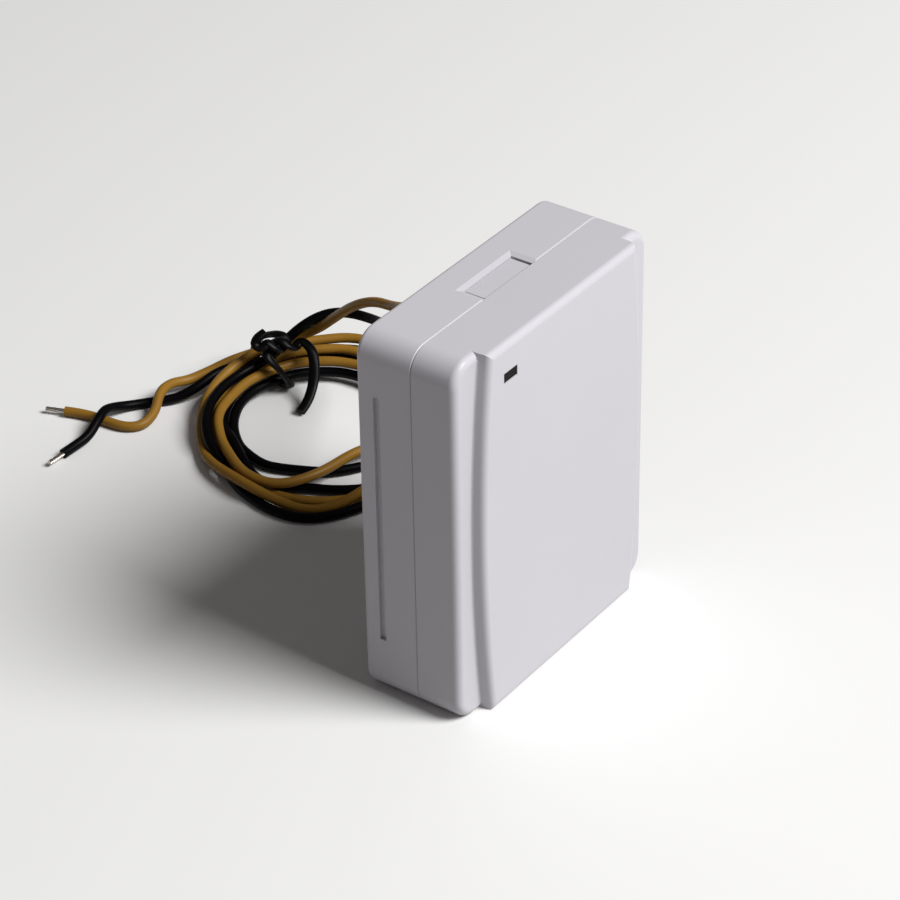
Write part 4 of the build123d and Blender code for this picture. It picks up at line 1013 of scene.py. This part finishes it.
@dataclass
class BoardDetail:
    """The small parts and the solder on the circuit board.

    Attributes:
        resistors: Places of the chip resistors: across, up in millimetres, turned in degrees.
        ceramics: Places of the chip capacitors.
        front_joints: Places of the solder joints on the front.
        back_joints: Places of the solder joints behind.
        cap_length: Distance between the metal ends of a chip.
        cap_width: How much of a chip the ends take.
    """

    resistors: tuple[Point, ...] = (
        (-10.7, 38, 0), (-10.7, 40.3, 0), (-10.7, 42.6, 0), (-10.7, 44.9, 0), (-16.6, 52.4, 90),
        (-14.2, 52.4, 90), (-0.9, 19.8, 0), (-0.9, 22.1, 0), (-9, 7.4, 90))
    ceramics: tuple[Point, ...] = (
        (-10.7, 47.6, 0), (-10.7, 50, 0), (-0.9, 25, 0), (-0.9, 27.5, 0), (-0.9, 31.6, 90), (-6.9, 7.4, 90),
        (-18.8, 52.4, 90))
    front_joints: tuple[Point, ...] = ((-21.6, 20, 0),)
    back_joints: tuple[Point, ...] = (
        (-1.4, 51.2, 0), (-1.4, 46.2, 0), (-5.05, 11.35, 0), (-2.51, 11.35, 0), (0.03, 11.35, 0),
        (-13.4, 14.9, 0), (-8.6, 14.9, 0), (-21.6, 20, 0), (2.4, 12.3, 0), (2.4, 42.7, 0),
        (-12.2, 54, 0), (-7.2, 54, 0), (-12.2, 58.4, 0), (-7.2, 58.4, 0), (-17.4, 6.8, 0), (-12.6, 6.8, 0),
        (-17.4, 11.2, 0), (-12.6, 11.2, 0))
    cap_length: float = 1.9 * MM
    cap_width: float = 0.3 * MM

    def on_spots(self, name: str, tree: PartTree, finish: Finish, slot: str, places: tuple[Point, ...],
                 depth: float, **sizes: float) -> None:
        """Runs a tree on a set of places.

        Args:
            name: The piece's name.
            tree: The tree.
            finish: Its finish.
            slot: The record's material slot.
            places: Where the shapes go: across, up in millimetres, turned in degrees.
            depth: The y of the board's face.
            **sizes: Values for the tree's inputs.
        """
        mesh = bpy.data.meshes.new(f"{name}_spots")
        mesh.from_pydata([(x * MM, depth, z * MM) for x, z, _ in places], [], [])
        turn = mesh.attributes.new("turn", "FLOAT", "POINT")
        for value, (_, _, angle) in zip(turn.data, places):
            value.value = math.radians(angle)
        carried(tree.run(name, finish, sizes, carrier=show(mesh.name, mesh)), slot)

    def build(self) -> None:
        """Adds the chips, their ends, the edge pads and the solder joints."""
        front, back = (corner[1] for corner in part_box("circuit_board"))
        chips, ends, cones = chip_tree(), chip_end_tree(), solder_tree()
        length, solder = self.cap_length - self.cap_width, (Palette.SOLDER, "tinned_copper")
        self.on_spots("chip_resistors", chips, Palette.RESISTOR, "black_plastic", self.resistors, front,
                      Length=length)
        self.on_spots("chip_capacitors", chips, Palette.CERAMIC, "white_plastic", self.ceramics, front,
                      Length=length, Thickness=0.8 * MM)
        self.on_spots("resistor_ends", ends, *solder, self.resistors, front, Span=self.cap_length)
        self.on_spots("capacitor_ends", ends, *solder, self.ceramics, front, Span=self.cap_length,
                      Thickness=0.88 * MM)
        self.on_spots("front_solder", cones, *solder, self.front_joints, front, Foot=1.0 * MM, Tip=0.45 * MM)
        self.on_spots("back_solder", cones, *solder, self.back_joints, back, Way=-math.pi / 2)
        low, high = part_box("radio_module")
        middle = Matrix.Translation(((low[0] + high[0]) / 2, front, (low[2] + high[2]) / 2))
        sizes = {"Across": high[0] - low[0]}
        carried(edge_pad_tree().run("module_edge_pads", Palette.GOLD_PINS, sizes, middle), "gold_pins")


@dataclass
class SolidFinishes:
    """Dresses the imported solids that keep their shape.

    Attributes:
        leg_reach: How far the controller's metal legs stand out of its body.
        plate: Thickness of a switch's metal front.
        cap_base: Thickness of the capacitor's black foot.
        cell_end: How far the cell's bare metal comes in from its lower end.
        cell_top: The same from the tip of its upper end.
        beyond: A distance that is past everything, in metres.
    """

    leg_reach: float = 1.05 * MM
    plate: float = 0.3 * MM
    cap_base: float = 0.8 * MM
    cell_end: float = 0.5 * MM
    cell_top: float = 1.4 * MM
    beyond: float = 1.0

    def special(self) -> dict[str, Finish]:
        """Finishes of the nodes that are more than one material.

        Returns:
            The finish by node name.
        """
        leg, can, black = self.leg_reach, Palette.ALUMINIUM_CAN, Palette.BLACK_PLASTIC
        front = (black, Palette.PLATED_STEEL, 1, self.plate, -self.beyond)
        made = {"radio_shield": Palette.SHIELD, "indicator_led": Palette.LED}
        for node, name, body, end, axis, low_in, high_in in (
                ("controller_chip", "chip_and_legs", Palette.RESISTOR, Palette.SOLDER, 0, leg, leg),
                ("battery", "wrapped_cell", Palette.BATTERY_WRAP, can, 2, self.cell_end, self.cell_top),
                ("capacitor", "can_on_foot", can, black, 1, -self.beyond, self.cap_base),
                ("tamper_switch", "tamper_switch_case", *front),
                ("learn_switch", "learn_switch_case", *front)):
            low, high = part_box(node)
            way = tuple(float(k == axis) for k in range(3))
            trim = Trim(end.main, end.metallic, way, low[axis] + low_in, high[axis] - high_in)
            made[node] = replace(body, name=name, trim=trim)
        return made

    def build(self) -> None:
        """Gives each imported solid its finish."""
        special = self.special()
        for part in frame["record"]["subparts"]:
            solid = frame["nodes"][part["node"]]
            finish = special.get(part["node"], getattr(Palette, part["material_slot"].upper()))
            if not solid.material_slots:
                solid.data.materials.append(finish.material())
            for held in solid.material_slots:
                held.material = finish.material()
            LOG.info("%s dressed in %s", part["node"], finish.name)


def write_sizes() -> None:
    """Updates the view layer."""
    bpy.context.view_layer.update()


def main() -> None:
    """Builds the studio and the sensor in order."""
    logging.basicConfig(level=logging.INFO)
    Studio().build()
    CoiledLead().build()
    SolidFinishes().build()
    BoardDetail().build()
    write_sizes()


if __name__ == "__main__":
    main()
